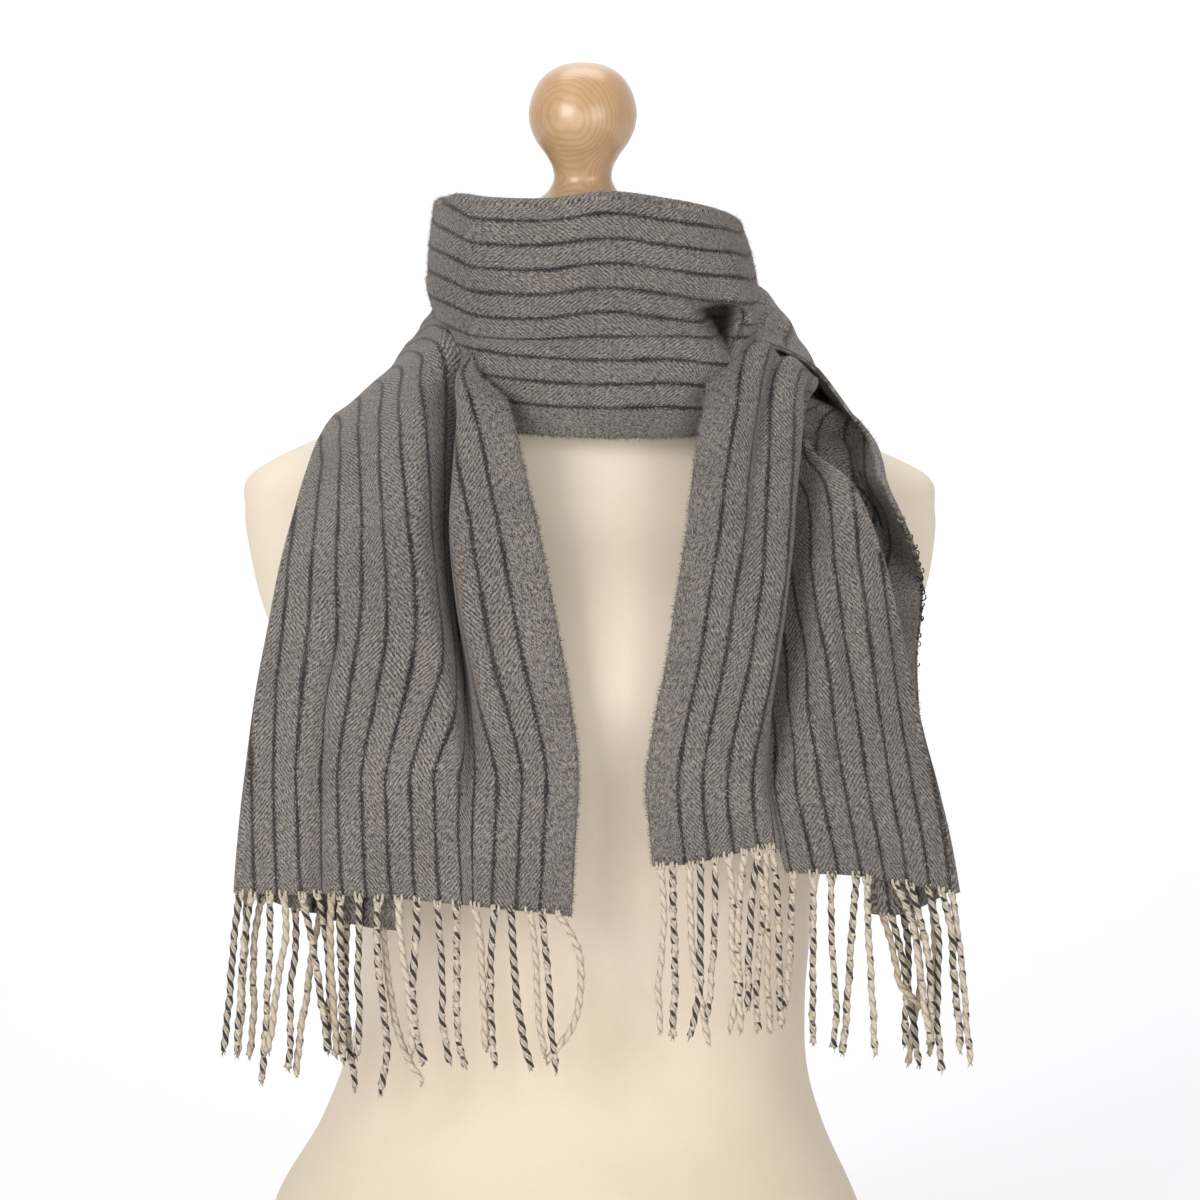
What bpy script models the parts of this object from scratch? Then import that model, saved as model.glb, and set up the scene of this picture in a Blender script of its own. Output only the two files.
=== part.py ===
"""A fringed cashmere scarf, wound once round the neck of a limbless dress form.

Metres, +Z up, the wearer's front towards -Y. The origin is the centre of the form's flat base.
The scarf is one woven length. It starts at the left hem, goes up over the left shoulder (left as
seen from the front), behind the neck, round the front as the neck band, behind the neck again and
down over the right shoulder to the right hem.
"""
import math
from collections import namedtuple

import bmesh
import bpy
import numpy as np

MM = 0.001

# ---- driving sizes, in millimetres ----
CLOTH = 2.0                # thickness of the cloth's wall
SEAM = 0.3                 # gap between pieces that touch
JOIN_GAP = 0.5             # gap between the middle surfaces of two stretches, which meet at a slant
FOLD_GAP = 6.0             # distance between the plies at a lengthwise fold
STATION_STEP = 22.0        # longest step between two sections along the cloth
FRONT_POINTS = 13          # points across a front ply
BACK_POINTS = 6            # points across a ply behind it
CREST_ROLL = 6.0           # rise of the third ply where it rolls over the shoulder
CREST_START = 0.34         # shares of the stretch's length between which the roll swells
CREST_END = 0.66
ROLL_PLACE = 0.8           # where along the third ply the roll is highest

NECK_TOP = 686.0           # height of the form's neck, where the knob stands

STRANDS_PER_END = 26
STRAND_LENGTH = 98.0
STRAND_SIDE = 3.4          # width of a strand's square section
STRIP_HEIGHT = 4.0         # height of the strip that the strands hang from
STRIP_DEPTH = 3.0
STRIP_GAP = 0.9            # gap between the hem and the strip, whose straight runs cut its curve

# ---- colours (linear) ----
Look = namedtuple("Look", "red green blue roughness")
LOOKS = {
    "cashmere": Look(0.165, 0.146, 0.132, 0.95),
    "fringe_yarn": Look(0.52, 0.45, 0.36, 0.90),
    "form_cover": Look(0.78, 0.68, 0.55, 0.85),
    "beech": Look(0.62, 0.42, 0.24, 0.35),
}

# ---- the form: half widths and depths of the torso at each height ----
Ring = namedtuple("Ring", "height half_width front back centre_x power")
TORSO = [
    Ring(0.0, 184, 108, 116, -8, 2.3),
    Ring(45.0, 185, 109, 116, -8, 2.3),
    Ring(85.0, 179, 106, 112, -9, 2.3),
    Ring(115.0, 169, 102, 106, -10, 2.3),
    Ring(158.0, 147, 96, 94, -7, 2.3),
    Ring(190.0, 136, 90, 84, -5, 2.2),
    Ring(228.0, 130, 88, 78, -1, 2.2),
    Ring(262.0, 131, 90, 79, 0, 2.2),
    Ring(310.0, 137, 97, 86, 1, 2.2),
    Ring(360.0, 147, 109, 94, 2, 2.2),
    Ring(400.0, 159, 119, 100, 3, 2.2),
    Ring(435.0, 175, 124, 103, 4, 2.2),
    Ring(465.0, 189, 118, 101, 5, 2.2),
    Ring(495.0, 196, 104, 96, 5, 2.2),
    Ring(520.0, 198, 88, 87, 4, 2.1),
    Ring(540.0, 193, 76, 79, 3, 2.0),
    Ring(551.0, 173, 70, 75, 1, 2.0),
    Ring(561.0, 149, 64, 71, 0, 2.0),
    Ring(571.0, 119, 58, 68, 0, 2.0),
    Ring(582.0, 89, 52, 65, 0, 2.0),
    Ring(594.0, 66, 47, 61, 0, 2.0),
    Ring(609.0, 54, 44, 59, 0, 2.0),
    Ring(640.0, 50, 42, 58, 0, 2.0),
    Ring(NECK_TOP, 49, 41, 57, 0, 2.0),
]
TORSO_SIDES = 40
BUST_HEIGHT = 436.0
BUST_SPREAD = 72.0         # distance of each bust centre from the middle
BUST_RISE = 8.0
BUST_RADIUS = 52.0

# ---- the knob: half profile, height above the neck's top ----
Turn = namedtuple("Turn", "radius rise")
KNOB = [
    Turn(31.0, 0.0), Turn(31.5, 4.0), Turn(27.0, 9.0), Turn(19.5, 15.5), Turn(16.5, 22.5),
    Turn(17.2, 28.0), Turn(21.0, 35.5), Turn(26.0, 42.5), Turn(29.8, 51.0), Turn(30.8, 60.5),
    Turn(28.4, 70.5), Turn(23.0, 79.5), Turn(15.5, 85.0), Turn(7.5, 87.5),
]
KNOB_SIDES = 28
KNOB_DEPTH_FROM_AXIS = 8.0   # the neck's axis lies this far behind the middle

# ---- the scarf: a row for each section across the cloth, in millimetres ----
# inner: the selvedge next to the neck; middle: a point half way across the front ply;
# outer: the lengthwise fold; back: how far the second ply goes back from the fold;
# sag: how much lower the second ply hangs; edge: the selvedge of a third ply.
Section = namedtuple("Section", "inner middle outer back sag edge", defaults=[(0, 0, 0)])
RIGHT_TAIL = [
    Section((39, -146, 339), (122, -150, 338), (209, -125, 322), 46, 22, (199, -104, 313)),
    Section((37, -147, 360), (120, -153, 357), (204, -127, 349), 44, 10, (196, -106, 346)),
    Section((35, -150, 385), (116, -155, 382), (197, -129, 378), 42, 0, (190, -108, 378)),
    Section((39, -153, 419), (114, -156, 415), (189, -128, 408), 40, 0, (187, -102, 409)),
    Section((46, -152, 455), (112, -153, 448), (181, -122, 444), 38, 0, (186, -84, 446)),
    Section((51, -147, 488), (112, -143, 480), (174, -112, 474), 36, 0, (190, -62, 470)),
    Section((57, -135, 523), (112, -126, 514), (165, -99, 508), 34, 0, (189, -53, 494)),
    Section((62, -114, 559), (105, -106, 548), (152, -84, 541), 30, 0, (181, -52, 518)),
    Section((67, -98, 586), (101, -88, 576), (139, -67, 565), 28, 0, (171, -44, 540)),
    Section((71, -84, 605), (99, -73, 601), (132, -54, 586), 26, 0, (169, -28, 551)),
    Section((78, -68, 615), (101, -57, 617), (131, -43, 598), 24, 0, (167, -14, 559)),
    Section((85, -47, 614), (106, -38, 612), (133, -28, 597), 24, 0, (164, -1, 561)),
    Section((90, -20, 624), (112, -14, 615), (137, -8, 595), 24, 0, (161, 11, 562)),
    Section((95, 14, 645), (117, 16, 622), (139, 16, 593), 24, 0, (156, 24, 559)),
    Section((95, 42, 655), (118, 50, 620), (142, 56, 578), 22, 0, (139, 52, 557)),
    Section((86, 70, 660), (103, 84, 612), (121, 95, 556), 24, 0, (118, 86, 544)),
    Section((52, 94, 666), (60, 110, 616), (67, 121, 562), 24, 0, (66, 106, 566)),
    Section((5, 105, 677), (5, 120, 633), (5, 127, 580), 24, 0, (5, 112, 584)),
    Section((-40, 94, 688), (-43, 106, 650), (-45, 110, 605), 18, 0, (-43, 95, 610)),
    Section((-73, 62, 694), (-77, 67, 660), (-76, 69, 626), 12, 0, (-66, 61, 634)),
]
LEFT_TAIL = [
    Section((-6, -142, 310), (-98, -148, 321), (-193, -125, 320), 92, 20),
    Section((-4, -147, 350), (-98, -152, 352), (-190, -129, 353), 90, 6),
    Section((-2, -151, 397), (-95, -155, 396), (-185, -130, 395), 88, 0),
    Section((-7, -153, 437), (-94, -155, 435), (-180, -127, 432), 86, 0),
    Section((-14, -151, 476), (-95, -150, 472), (-174, -116, 466), 82, 0),
    Section((-22, -141, 517), (-94, -137, 509), (-168, -99, 500), 76, 0),
    Section((-32, -120, 557), (-93, -113, 544), (-161, -73, 528), 68, 0),
    Section((-43, -101, 593), (-94, -88, 574), (-156, -48, 548), 60, 0),
    Section((-62, -85, 610), (-98, -62, 591), (-152, -29.5, 560.5), 54, 0),
    Section((-77, -62, 625), (-103, -36, 602), (-147, -14, 569), 50, 0),
    Section((-84, -32, 634), (-105, -8, 604), (-142, 12, 572), 48, 0),
    Section((-88, 4, 637), (-108, 22, 602), (-138, 40, 564), 46, 0),
    Section((-92, 36, 622), (-108, 52, 588), (-128, 73, 543), 44, 0),
    Section((-82, 70, 605), (-92, 84, 569), (-104, 99, 523), 42, 0),
    Section((-50, 88, 607), (-57, 100, 570), (-62, 110, 526), 38, 0),
    Section((-12, 94, 636), (-12, 101, 609), (-12, 108, 578), 28, 0),
    Section((10, 92, 650), (10, 99, 622), (10, 106, 592), 20, 0),
    Section((29, 86, 660), (29, 93, 632), (29, 100, 602), 14, 0),
]
# the band's inner point is its lower selvedge, its outer point the fold along its top
NECK_BAND = [
    Section((30, 100, 602), (30, 93, 632), (30, 86, 660), 14, 0),
    Section((60, 76, 608), (63, 71, 642), (62, 65, 669), 44, 0),
    Section((73, 40, 613), (77, 39, 648), (75, 37, 677), 38, 0),
    Section((75, 4, 608), (80, 4, 650), (81, 4, 678), 36, 0),
    Section((76, -28, 594), (88, -22, 643), (86, -18, 681), 42, 0),
    Section((75, -56, 578), (93, -42, 641), (89, -40, 687), 56, 0),
    Section((62, -79, 571), (83, -72, 640), (79, -66, 693), 74, 0),
    Section((38, -86, 570), (48, -93, 640), (51, -90, 701), 80, 0),
    Section((10, -88, 570), (12, -101, 640), (14, -101, 706), 84, 0),
    Section((-18, -86, 571), (-22, -98, 641), (-20, -100, 702), 84, 0),
    Section((-41, -81, 573), (-50, -88, 643), (-51, -91, 702), 80, 0),
    Section((-60, -65, 578), (-74, -66, 652), (-71, -69, 703), 70, 0),
    Section((-70, -38, 594), (-86, -32, 660), (-81, -35, 698), 62, 0),
    Section((-73, 0, 608), (-84, 2, 662), (-84, 0, 696), 56, 0),
    Section((-75, 36, 618), (-82, 36, 660), (-82, 34, 695), 36, 0),
    Section((-76, 68, 626), (-77, 66, 660), (-73, 61, 694), 12, 0),
]

# directions of the cloth where two stretches meet
BACK_JOIN = (0.86, -0.30, 0.41)
LEFT_JOIN = (0.37, 0.93, 0.0)

# ---- pleats: half width (share of the front ply), depth, the share of the stretch's length where
# each starts and ends, and its place across the ply at its start, half way and at its end ----
Pleat = namedtuple("Pleat", "half_width depth start end low mid high")
RIGHT_PLEATS = [
    Pleat(0.070, 10.0, 0.13, 0.43, 0.71, 0.67, 0.98),
    Pleat(0.050, 8.0, 0.08, 0.24, 0.66, 0.56, 0.54),
    Pleat(0.080, 5.0, 0.34, 0.54, 0.60, 0.58, 0.54),
    Pleat(0.045, 4.0, -0.12, 0.17, 0.40, 0.41, 0.42),
    Pleat(0.120, 6.0, 0.62, 1.10, 0.45, 0.45, 0.45),
]
LEFT_PLEATS = [
    Pleat(0.080, 14.0, 0.14, 0.60, 0.30, 0.36, -0.02),
    Pleat(0.050, 4.0, -0.20, 0.22, 0.72, 0.73, 0.70),
    Pleat(0.060, 4.0, 0.38, 0.60, 0.18, 0.17, 0.10),
    Pleat(0.100, 3.0, 0.28, 0.58, 0.76, 0.70, 0.64),
    Pleat(0.140, 6.0, 0.62, 1.10, 0.45, 0.45, 0.50),
]
BAND_PLEATS = [
    Pleat(0.170, 12.0, 0.13, 0.49, 0.38, 0.34, 0.44),
    Pleat(0.120, 8.0, 0.66, 1.02, 0.36, 0.36, 0.36),
]


def clear_scene():
    """Take every object out of the scene."""
    for thing in list(bpy.data.objects):
        bpy.data.objects.remove(thing, do_unlink=True)


def make_material(name):
    """A Principled material with the colour and roughness from the table."""
    look = LOOKS[name]
    material = bpy.data.materials.new(name)
    material.use_nodes = True
    shader = material.node_tree.nodes["Principled BSDF"]
    shader.inputs["Base Color"].default_value = (look.red, look.green, look.blue, 1.0)
    shader.inputs["Roughness"].default_value = look.roughness
    shader.inputs["Metallic"].default_value = 0.0
    return material


def make_object(name, points, faces, material):
    """A smooth-shaded closed mesh object from points in millimetres."""
    mesh = bpy.data.meshes.new(name)
    mesh.from_pydata([tuple(float(c) * MM for c in p) for p in points], [], faces)
    shape = bmesh.new()
    shape.from_mesh(mesh)
    bmesh.ops.recalc_face_normals(shape, faces=shape.faces[:])
    shape.to_mesh(mesh)
    shape.free()
    mesh.shade_smooth()
    mesh.set_sharp_from_angle(angle=math.radians(40))
    mesh.materials.append(material)
    thing = bpy.data.objects.new(name, mesh)
    bpy.context.scene.collection.objects.link(thing)
    return thing


def curve_through(keys, values, places):
    """Read a smooth curve through the values at the keys, at the given places."""
    keys = np.asarray(keys, dtype=float)
    values = np.asarray(values, dtype=float)
    places = np.atleast_1d(np.asarray(places, dtype=float))
    slopes = np.gradient(values, keys, axis=0, edge_order=2 if len(keys) > 2 else 1)
    low = np.clip(np.searchsorted(keys, places, side="right") - 1, 0, len(keys) - 2)
    span = keys[low + 1] - keys[low]
    share = (places - keys[low]) / span
    if values.ndim > 1:
        share = share[:, None]
        span = span[:, None]
    rise = share * share * (3.0 - 2.0 * share)
    lead_in = share * (1.0 - share) ** 2
    lead_out = -share * share * (1.0 - share)
    return (values[low] * (1.0 - rise) + values[low + 1] * rise
            + slopes[low] * span * lead_in + slopes[low + 1] * span * lead_out)


def unit(vectors):
    """The vectors at length one."""
    return vectors / np.linalg.norm(vectors, axis=-1, keepdims=True)


def loft_wall(name, grid, material):
    """A closed wall, CLOTH thick, round a grid of points on the cloth's middle surface."""
    rows, columns = grid.shape[:2]
    along = np.gradient(grid, axis=0)
    across = np.gradient(grid, axis=1)
    normals = unit(np.cross(across, along))
    sheets = np.stack([grid + normals * CLOTH / 2, grid - normals * CLOTH / 2])
    points = sheets.reshape(-1, 3)

    def index(sheet, row, column):
        return (sheet * rows + row) * columns + column

    faces = []
    for row in range(rows - 1):
        for column in range(columns - 1):
            corners = [(row, column), (row, column + 1), (row + 1, column + 1), (row + 1, column)]
            faces.append([index(0, *corner) for corner in corners])
            faces.append([index(1, *corner) for corner in reversed(corners)])
    rim = [(0, column) for column in range(columns)]
    rim += [(row, columns - 1) for row in range(1, rows)]
    rim += [(rows - 1, column) for column in range(columns - 2, -1, -1)]
    rim += [(row, 0) for row in range(rows - 2, 0, -1)]
    for start, end in zip(rim, rim[1:] + rim[:1]):
        faces.append([index(0, *start), index(1, *start), index(1, *end), index(0, *end)])
    return make_object(name, points, faces, material)


def pleat_depth(pleats, share, station):
    """How far the pleats press the front ply in, at a share of its width and of its length."""
    depth = np.zeros_like(share)
    for pleat in pleats:
        part = (station - pleat.start) / (pleat.end - pleat.start)
        if 0.0 < part < 1.0:
            fade = math.sin(math.pi * part) ** 0.7
            place = (pleat.low * (1.0 - part) * (1.0 - 2.0 * part)
                     + pleat.mid * 4.0 * part * (1.0 - part)
                     + pleat.high * part * (2.0 * part - 1.0))
            depth += pleat.depth * fade * np.exp(-((share - place) / pleat.half_width) ** 2)
    return depth


def half_turn(centre, normal, across):
    """Three points round a fold, from the front ply to the one behind it."""
    radius = FOLD_GAP / 2
    swings = [math.radians(angle) for angle in (45.0, 0.0, -45.0)]
    return [centre + radius * (across * math.cos(swing) + normal * math.sin(swing))
            for swing in swings]


def section_points(section, travel, side, pleats, station, third_ply):
    """Points across the cloth at one station, from the inner selvedge round its folds.

    travel is the direction along the cloth, and side is +1 or -1 for the way the plies lie.
    """
    inner, middle, outer = section[0:3], section[3:6], section[6:9]
    back, sag, edge = section[9], section[10], section[11:14]
    down = np.array([0.0, 0.0, -1.0])
    across = unit(outer - inner)
    normal = side * unit(np.cross(across, travel))
    turn = outer - across * FOLD_GAP / 2
    half = np.linalg.norm(middle - inner)
    mid_share = half / (half + np.linalg.norm(turn - middle))
    share = np.linspace(0.0, 1.0, FRONT_POINTS)
    front = curve_through([0.0, mid_share, 1.0], [inner, middle, turn], share)
    width = np.linalg.norm(np.diff(front, axis=0), axis=1).sum()
    front = front - normal * pleat_depth(pleats, share, station)[:, None]

    def under(distance):
        """A point one fold behind the front ply, at a distance back from the fold."""
        place = 1.0 - distance / width
        above = np.array([np.interp(place, share, front[:, axis]) for axis in range(3)])
        return above - normal * FOLD_GAP

    points = list(front)
    points += half_turn(turn - normal * FOLD_GAP / 2, normal, across)
    parts = np.linspace(0.0, 1.0, BACK_POINTS)
    points += [under(part * back) + down * sag * math.sin(part * math.pi / 2) for part in parts]
    if third_ply:
        valley = points[-1] - normal * FOLD_GAP
        points += half_turn(points[-1] - normal * FOLD_GAP / 2, normal, -across)
        third = valley + (edge - valley) * parts[:, None]
        places = (third - inner) @ across / np.linalg.norm(outer - inner)
        press = pleat_depth(pleats, places, station)
        press = np.maximum(press - press[0] * (1.0 - parts), 0.0) * (1.0 - parts ** 4)
        swell = (station - CREST_START) / (CREST_END - CREST_START)
        swell = math.sin(math.pi * min(max(swell, 0.0), 1.0))
        power = ROLL_PLACE / (1.0 - ROLL_PLACE)
        peak = ROLL_PLACE ** power * (1.0 - ROLL_PLACE)
        roll = CREST_ROLL * swell * parts ** power * (1.0 - parts) / peak
        points += list(third + normal * (roll - press)[:, None])
    return np.array(points)


def cloth_grid(sections, side, pleats, third_ply=False, first_travel=None, last_travel=None):
    """The middle surface of one stretch, as rows of points from its first section to its last.

    first_travel and last_travel set the direction of the cloth where it meets the next stretch,
    and the cloth stops half a seam short there.
    """
    table = np.array([[*s.inner, *s.middle, *s.outer, s.back, s.sag, *s.edge] for s in sections],
                     dtype=float)
    steps = np.linalg.norm(np.diff(table[:, 3:6], axis=0), axis=1)
    keys = np.concatenate([[0.0], np.cumsum(steps)])
    places = [0.0]
    for start, end in zip(keys[:-1], keys[1:]):
        count = max(1, math.ceil((end - start) / STATION_STEP))
        places += [start + (end - start) * (i + 1) / count for i in range(count)]
    places = np.array(places)
    stations = curve_through(keys, table, places)
    travel = unit(np.gradient(stations[:, 3:6], places, axis=0))
    if first_travel is not None:
        travel[0] = unit(np.array(first_travel))
        stations[0, 0:9] += np.tile(travel[0], 3) * JOIN_GAP / 2
    if last_travel is not None:
        travel[-1] = unit(np.array(last_travel))
        stations[-1, 0:9] -= np.tile(travel[-1], 3) * JOIN_GAP / 2
    rows = [section_points(stations[i], travel[i], side, pleats, places[i] / keys[-1], third_ply)
            for i in range(len(places))]
    return np.array(rows)


def strand_path(root, number, end_lean):
    """Points down a strand, which leans and bends a little, each in its own way."""
    sway = 1.6 * math.sin(number * 2.4)
    bow = 2.2 * math.sin(number * 1.7 + 0.6)
    length = STRAND_LENGTH + 5.0 * math.sin(number * 3.1)
    path = []
    for part in np.linspace(0.0, 1.0, 6)[1:]:
        x = end_lean * part + sway * part * part + bow * math.sin(math.pi * part)
        y = 0.8 * math.sin(number * 1.3) * part
        path.append(root + np.array([x, y, -length * part]))
    return path


def make_fringe(name, hem, fan, material):
    """A narrow strip under the hem's whole line, with a row of strands fused to it.

    fan is how far the strands at the two ends of the hem's width lean outwards.
    """
    arc = np.concatenate([[0.0], np.cumsum(np.linalg.norm(np.diff(hem, axis=0), axis=1))])
    pitch = (arc[-1] - STRAND_SIDE - 2.0) / (STRANDS_PER_END - 1)
    first = 1.0 + STRAND_SIDE / 2
    edges = [0.0]
    for number in range(STRANDS_PER_END):
        middle = first + number * pitch
        edges += [middle - STRAND_SIDE / 2, middle + STRAND_SIDE / 2]
    edges.append(arc[-1])
    edges = np.array(edges)
    line = np.stack([np.interp(edges, arc, hem[:, axis]) for axis in range(3)], axis=1)
    along = unit(np.gradient(line, axis=0) * np.array([1.0, 1.0, 0.0]))
    outward = np.stack([along[:, 1], -along[:, 0], np.zeros(len(along))], axis=1)
    line[:, 2] -= STRIP_GAP
    points = []
    for place, normal in zip(line, outward):
        for drop in (0.0, STRIP_HEIGHT):
            for way in (1.0, -1.0):
                points.append(place + normal * way * STRIP_DEPTH / 2 - np.array([0.0, 0.0, drop]))
    faces = [[0, 1, 3, 2]]
    last = 4 * (len(line) - 1)
    faces.append([last, last + 2, last + 3, last + 1])
    centre_x = (hem[:, 0].min() + hem[:, 0].max()) / 2
    half_x = (hem[:, 0].max() - hem[:, 0].min()) / 2
    for column in range(len(line) - 1):
        near, far = 4 * column, 4 * (column + 1)
        faces.append([near, near + 2, far + 2, far])
        faces.append([near + 1, far + 1, far + 3, near + 3])
        faces.append([near, far, far + 1, near + 1])
        root = [near + 2, near + 3, far + 3, far + 2]
        if column % 2 == 0:
            faces.append(root)
            continue
        number = column // 2
        corners = np.array([points[i] for i in root])
        middle = corners.mean(axis=0)
        lean = fan * (middle[0] - centre_x) / half_x
        ring = root
        for step in strand_path(middle, number, lean):
            start = len(points)
            for corner in corners:
                points.append(step + (corner - middle))
            fresh = list(range(start, start + 4))
            for i in range(4):
                j = (i + 1) % 4
                faces.append([ring[i], ring[j], fresh[j], fresh[i]])
            ring = fresh
        faces.append(ring)
    return make_object(name, points, faces, material)


def torso_ring(ring):
    """Points round the torso at one height, with the soft rise of the bust in front."""
    points = []
    for number in range(TORSO_SIDES):
        angle = 2.0 * math.pi * number / TORSO_SIDES
        cosine, sine = math.cos(angle), math.sin(angle)
        depth = ring.back if sine > 0.0 else ring.front
        x = ring.half_width * math.copysign(abs(cosine) ** (2.0 / ring.power), cosine)
        y = depth * math.copysign(abs(sine) ** (2.0 / ring.power), sine)
        if sine < 0.0:
            reach = ((abs(x) - BUST_SPREAD) / BUST_RADIUS) ** 2
            reach += ((ring.height - BUST_HEIGHT) / BUST_RADIUS) ** 2
            y -= BUST_RISE * math.exp(-reach) * abs(sine)
        points.append((x + ring.centre_x, y, ring.height))
    return points


def stack_rings(name, rings, material):
    """A closed solid through level rings of points, with flat ends."""
    sides = len(rings[0])
    points = [point for ring in rings for point in ring]
    faces = [list(range(sides))]
    top = sides * (len(rings) - 1)
    faces.append([top + i for i in range(sides)])
    for level in range(len(rings) - 1):
        for i in range(sides):
            j = (i + 1) % sides
            low, high = level * sides, (level + 1) * sides
            faces.append([low + i, low + j, high + j, high + i])
    return make_object(name, points, faces, material)


def make_torso(material):
    """The covered torso, from its flat base to the top of the neck."""
    return stack_rings("form_torso", [torso_ring(ring) for ring in TORSO], material)


def make_knob(material):
    """The turned knob, standing on the neck."""
    rings = []
    for turn in KNOB:
        ring = []
        for number in range(KNOB_SIDES):
            angle = 2.0 * math.pi * number / KNOB_SIDES
            ring.append((turn.radius * math.cos(angle),
                         turn.radius * math.sin(angle) + KNOB_DEPTH_FROM_AXIS,
                         NECK_TOP + SEAM + turn.rise))
        rings.append(ring)
    return stack_rings("form_knob", rings, material)


def build():
    """Make every piece."""
    clear_scene()
    materials = {name: make_material(name) for name in LOOKS}
    make_torso(materials["form_cover"])
    make_knob(materials["beech"])
    right_end = [-c for c in LEFT_JOIN]
    right = cloth_grid(RIGHT_TAIL, 1.0, RIGHT_PLEATS, third_ply=True, last_travel=right_end)
    left = cloth_grid(LEFT_TAIL, -1.0, LEFT_PLEATS, last_travel=BACK_JOIN)
    band = cloth_grid(NECK_BAND, 1.0, BAND_PLEATS, first_travel=BACK_JOIN, last_travel=LEFT_JOIN)
    loft_wall("tail_right", right, materials["cashmere"])
    loft_wall("tail_left", left, materials["cashmere"])
    loft_wall("neck_band", band, materials["cashmere"])
    make_fringe("fringe_right", right[0], 8.0, materials["fringe_yarn"])
    make_fringe("fringe_left", left[0], 8.0, materials["fringe_yarn"])


build()
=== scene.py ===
import math
from collections import namedtuple

import bmesh
import bpy
import numpy as np
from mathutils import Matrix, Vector
from mathutils.bvhtree import BVHTree


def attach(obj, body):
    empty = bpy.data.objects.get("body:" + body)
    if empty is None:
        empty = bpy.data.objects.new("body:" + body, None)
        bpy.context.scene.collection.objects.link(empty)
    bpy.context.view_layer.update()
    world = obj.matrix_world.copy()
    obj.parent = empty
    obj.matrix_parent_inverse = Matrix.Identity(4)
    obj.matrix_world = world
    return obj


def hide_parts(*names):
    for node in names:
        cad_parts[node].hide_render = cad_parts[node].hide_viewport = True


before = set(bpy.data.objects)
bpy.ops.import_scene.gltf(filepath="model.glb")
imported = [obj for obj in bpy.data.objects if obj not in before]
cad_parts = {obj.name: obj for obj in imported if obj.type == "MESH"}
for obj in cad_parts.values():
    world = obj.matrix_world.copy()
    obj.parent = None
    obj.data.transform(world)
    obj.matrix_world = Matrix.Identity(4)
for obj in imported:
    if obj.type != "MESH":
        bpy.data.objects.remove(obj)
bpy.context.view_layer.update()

MM = 0.001
MM_PER_M = 1000.0
FULL_TURN = 2.0 * math.pi

# ---- the cloth as it is woven ----
SCARF_WIDTH = 292.5
EDGE_BAND = 18.0           # selvedge to the first stripe
STRIPE_PITCH = 13.5
STRIPE_WIDTH = 2.2
TWILL_PERIOD = 2.9         # along the cloth, from one twill line to the next
TWILL_SLOPE = 1.25         # rise along the cloth for each millimetre across it
CLOTH = 2.0                # thickness
FOLD_GAP = 6.0             # between the middles of two plies at a fold

# ---- how finely the cloth is modelled ----
STATION_STEP = 2.9
FRONT_POINTS = 92
CROWDING = 3.0             # how much closer the points lie beside a deep crease
CROWD_REACH = 0.06         # how far beside it, as a share of the ply's width
CROWD_STEPS = 400
TURN_POINTS = 9
BACK_POINTS = 26
THIRD_POINTS = 26
FORM_CLEARANCE = 2.2       # least distance from the cloth's middle surface to the form
FORM_SEARCH = 30.0         # how far off the form is looked for

NECK_TOP = 686.0
SEAM = 0.3                 # between the neck and the knob
JOIN_GAP = 0.5             # between two stretches of the scarf
JOIN_EASE = 12.0           # how far from a joint the cloth turns into its direction
# the third ply of the right stretch rolls up towards its edge between these stations
CREST_ROLL = 6.0
CREST_START = 0.34
CREST_END = 0.66
ROLL_PLACE = 0.8
# how finely the form is modelled
TORSO_LEVELS, TORSO_SIDES = 190, 128
KNOB_LEVELS, KNOB_SIDES = 110, 96


def rows_of(kind, rows):
    """The rows as named tuples of one kind."""
    return [kind(*row) for row in rows]


Ring = namedtuple("Ring", "height half_width front back centre_x power")
TORSO = rows_of(Ring, [
    (0.0, 184, 108, 116, -8, 2.3),
    (45.0, 185, 109, 116, -8, 2.3),
    (85.0, 179, 106, 112, -9, 2.3),
    (115.0, 169, 102, 106, -10, 2.3),
    (158.0, 147, 96, 94, -7, 2.3),
    (190.0, 136, 90, 84, -5, 2.2),
    (228.0, 130, 88, 78, -1, 2.2),
    (262.0, 131, 90, 79, 0, 2.2),
    (310.0, 137, 97, 86, 1, 2.2),
    (360.0, 147, 109, 94, 2, 2.2),
    (400.0, 159, 119, 100, 3, 2.2),
    (435.0, 175, 124, 103, 4, 2.2),
    (465.0, 189, 118, 101, 5, 2.2),
    (495.0, 196, 104, 96, 5, 2.2),
    (520.0, 198, 88, 87, 4, 2.1),
    (540.0, 193, 76, 79, 3, 2.0),
    (551.0, 173, 70, 75, 1, 2.0),
    (561.0, 149, 64, 71, 0, 2.0),
    (571.0, 119, 58, 68, 0, 2.0),
    (582.0, 89, 52, 65, 0, 2.0),
    (594.0, 66, 47, 61, 0, 2.0),
    (609.0, 54, 44, 59, 0, 2.0),
    (640.0, 50, 42, 58, 0, 2.0),
    (NECK_TOP, 49, 41, 57, 0, 2.0),
])
BUST_HEIGHT = 436.0
BUST_SPREAD = 72.0
BUST_RISE = 8.0
BUST_RADIUS = 52.0

Turn = namedtuple("Turn", "radius rise")
KNOB = rows_of(Turn, [
    (31.0, 0.0), (31.5, 4.0), (27.0, 9.0), (19.5, 15.5), (16.5, 22.5), (17.2, 28.0), (21.0, 35.5),
    (26.0, 42.5), (29.8, 51.0), (30.8, 60.5), (28.4, 70.5), (23.0, 79.5), (15.5, 85.0), (7.5, 87.5),
    (0.5, 88.0),
])
KNOB_DEPTH_FROM_AXIS = 8.0

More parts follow.
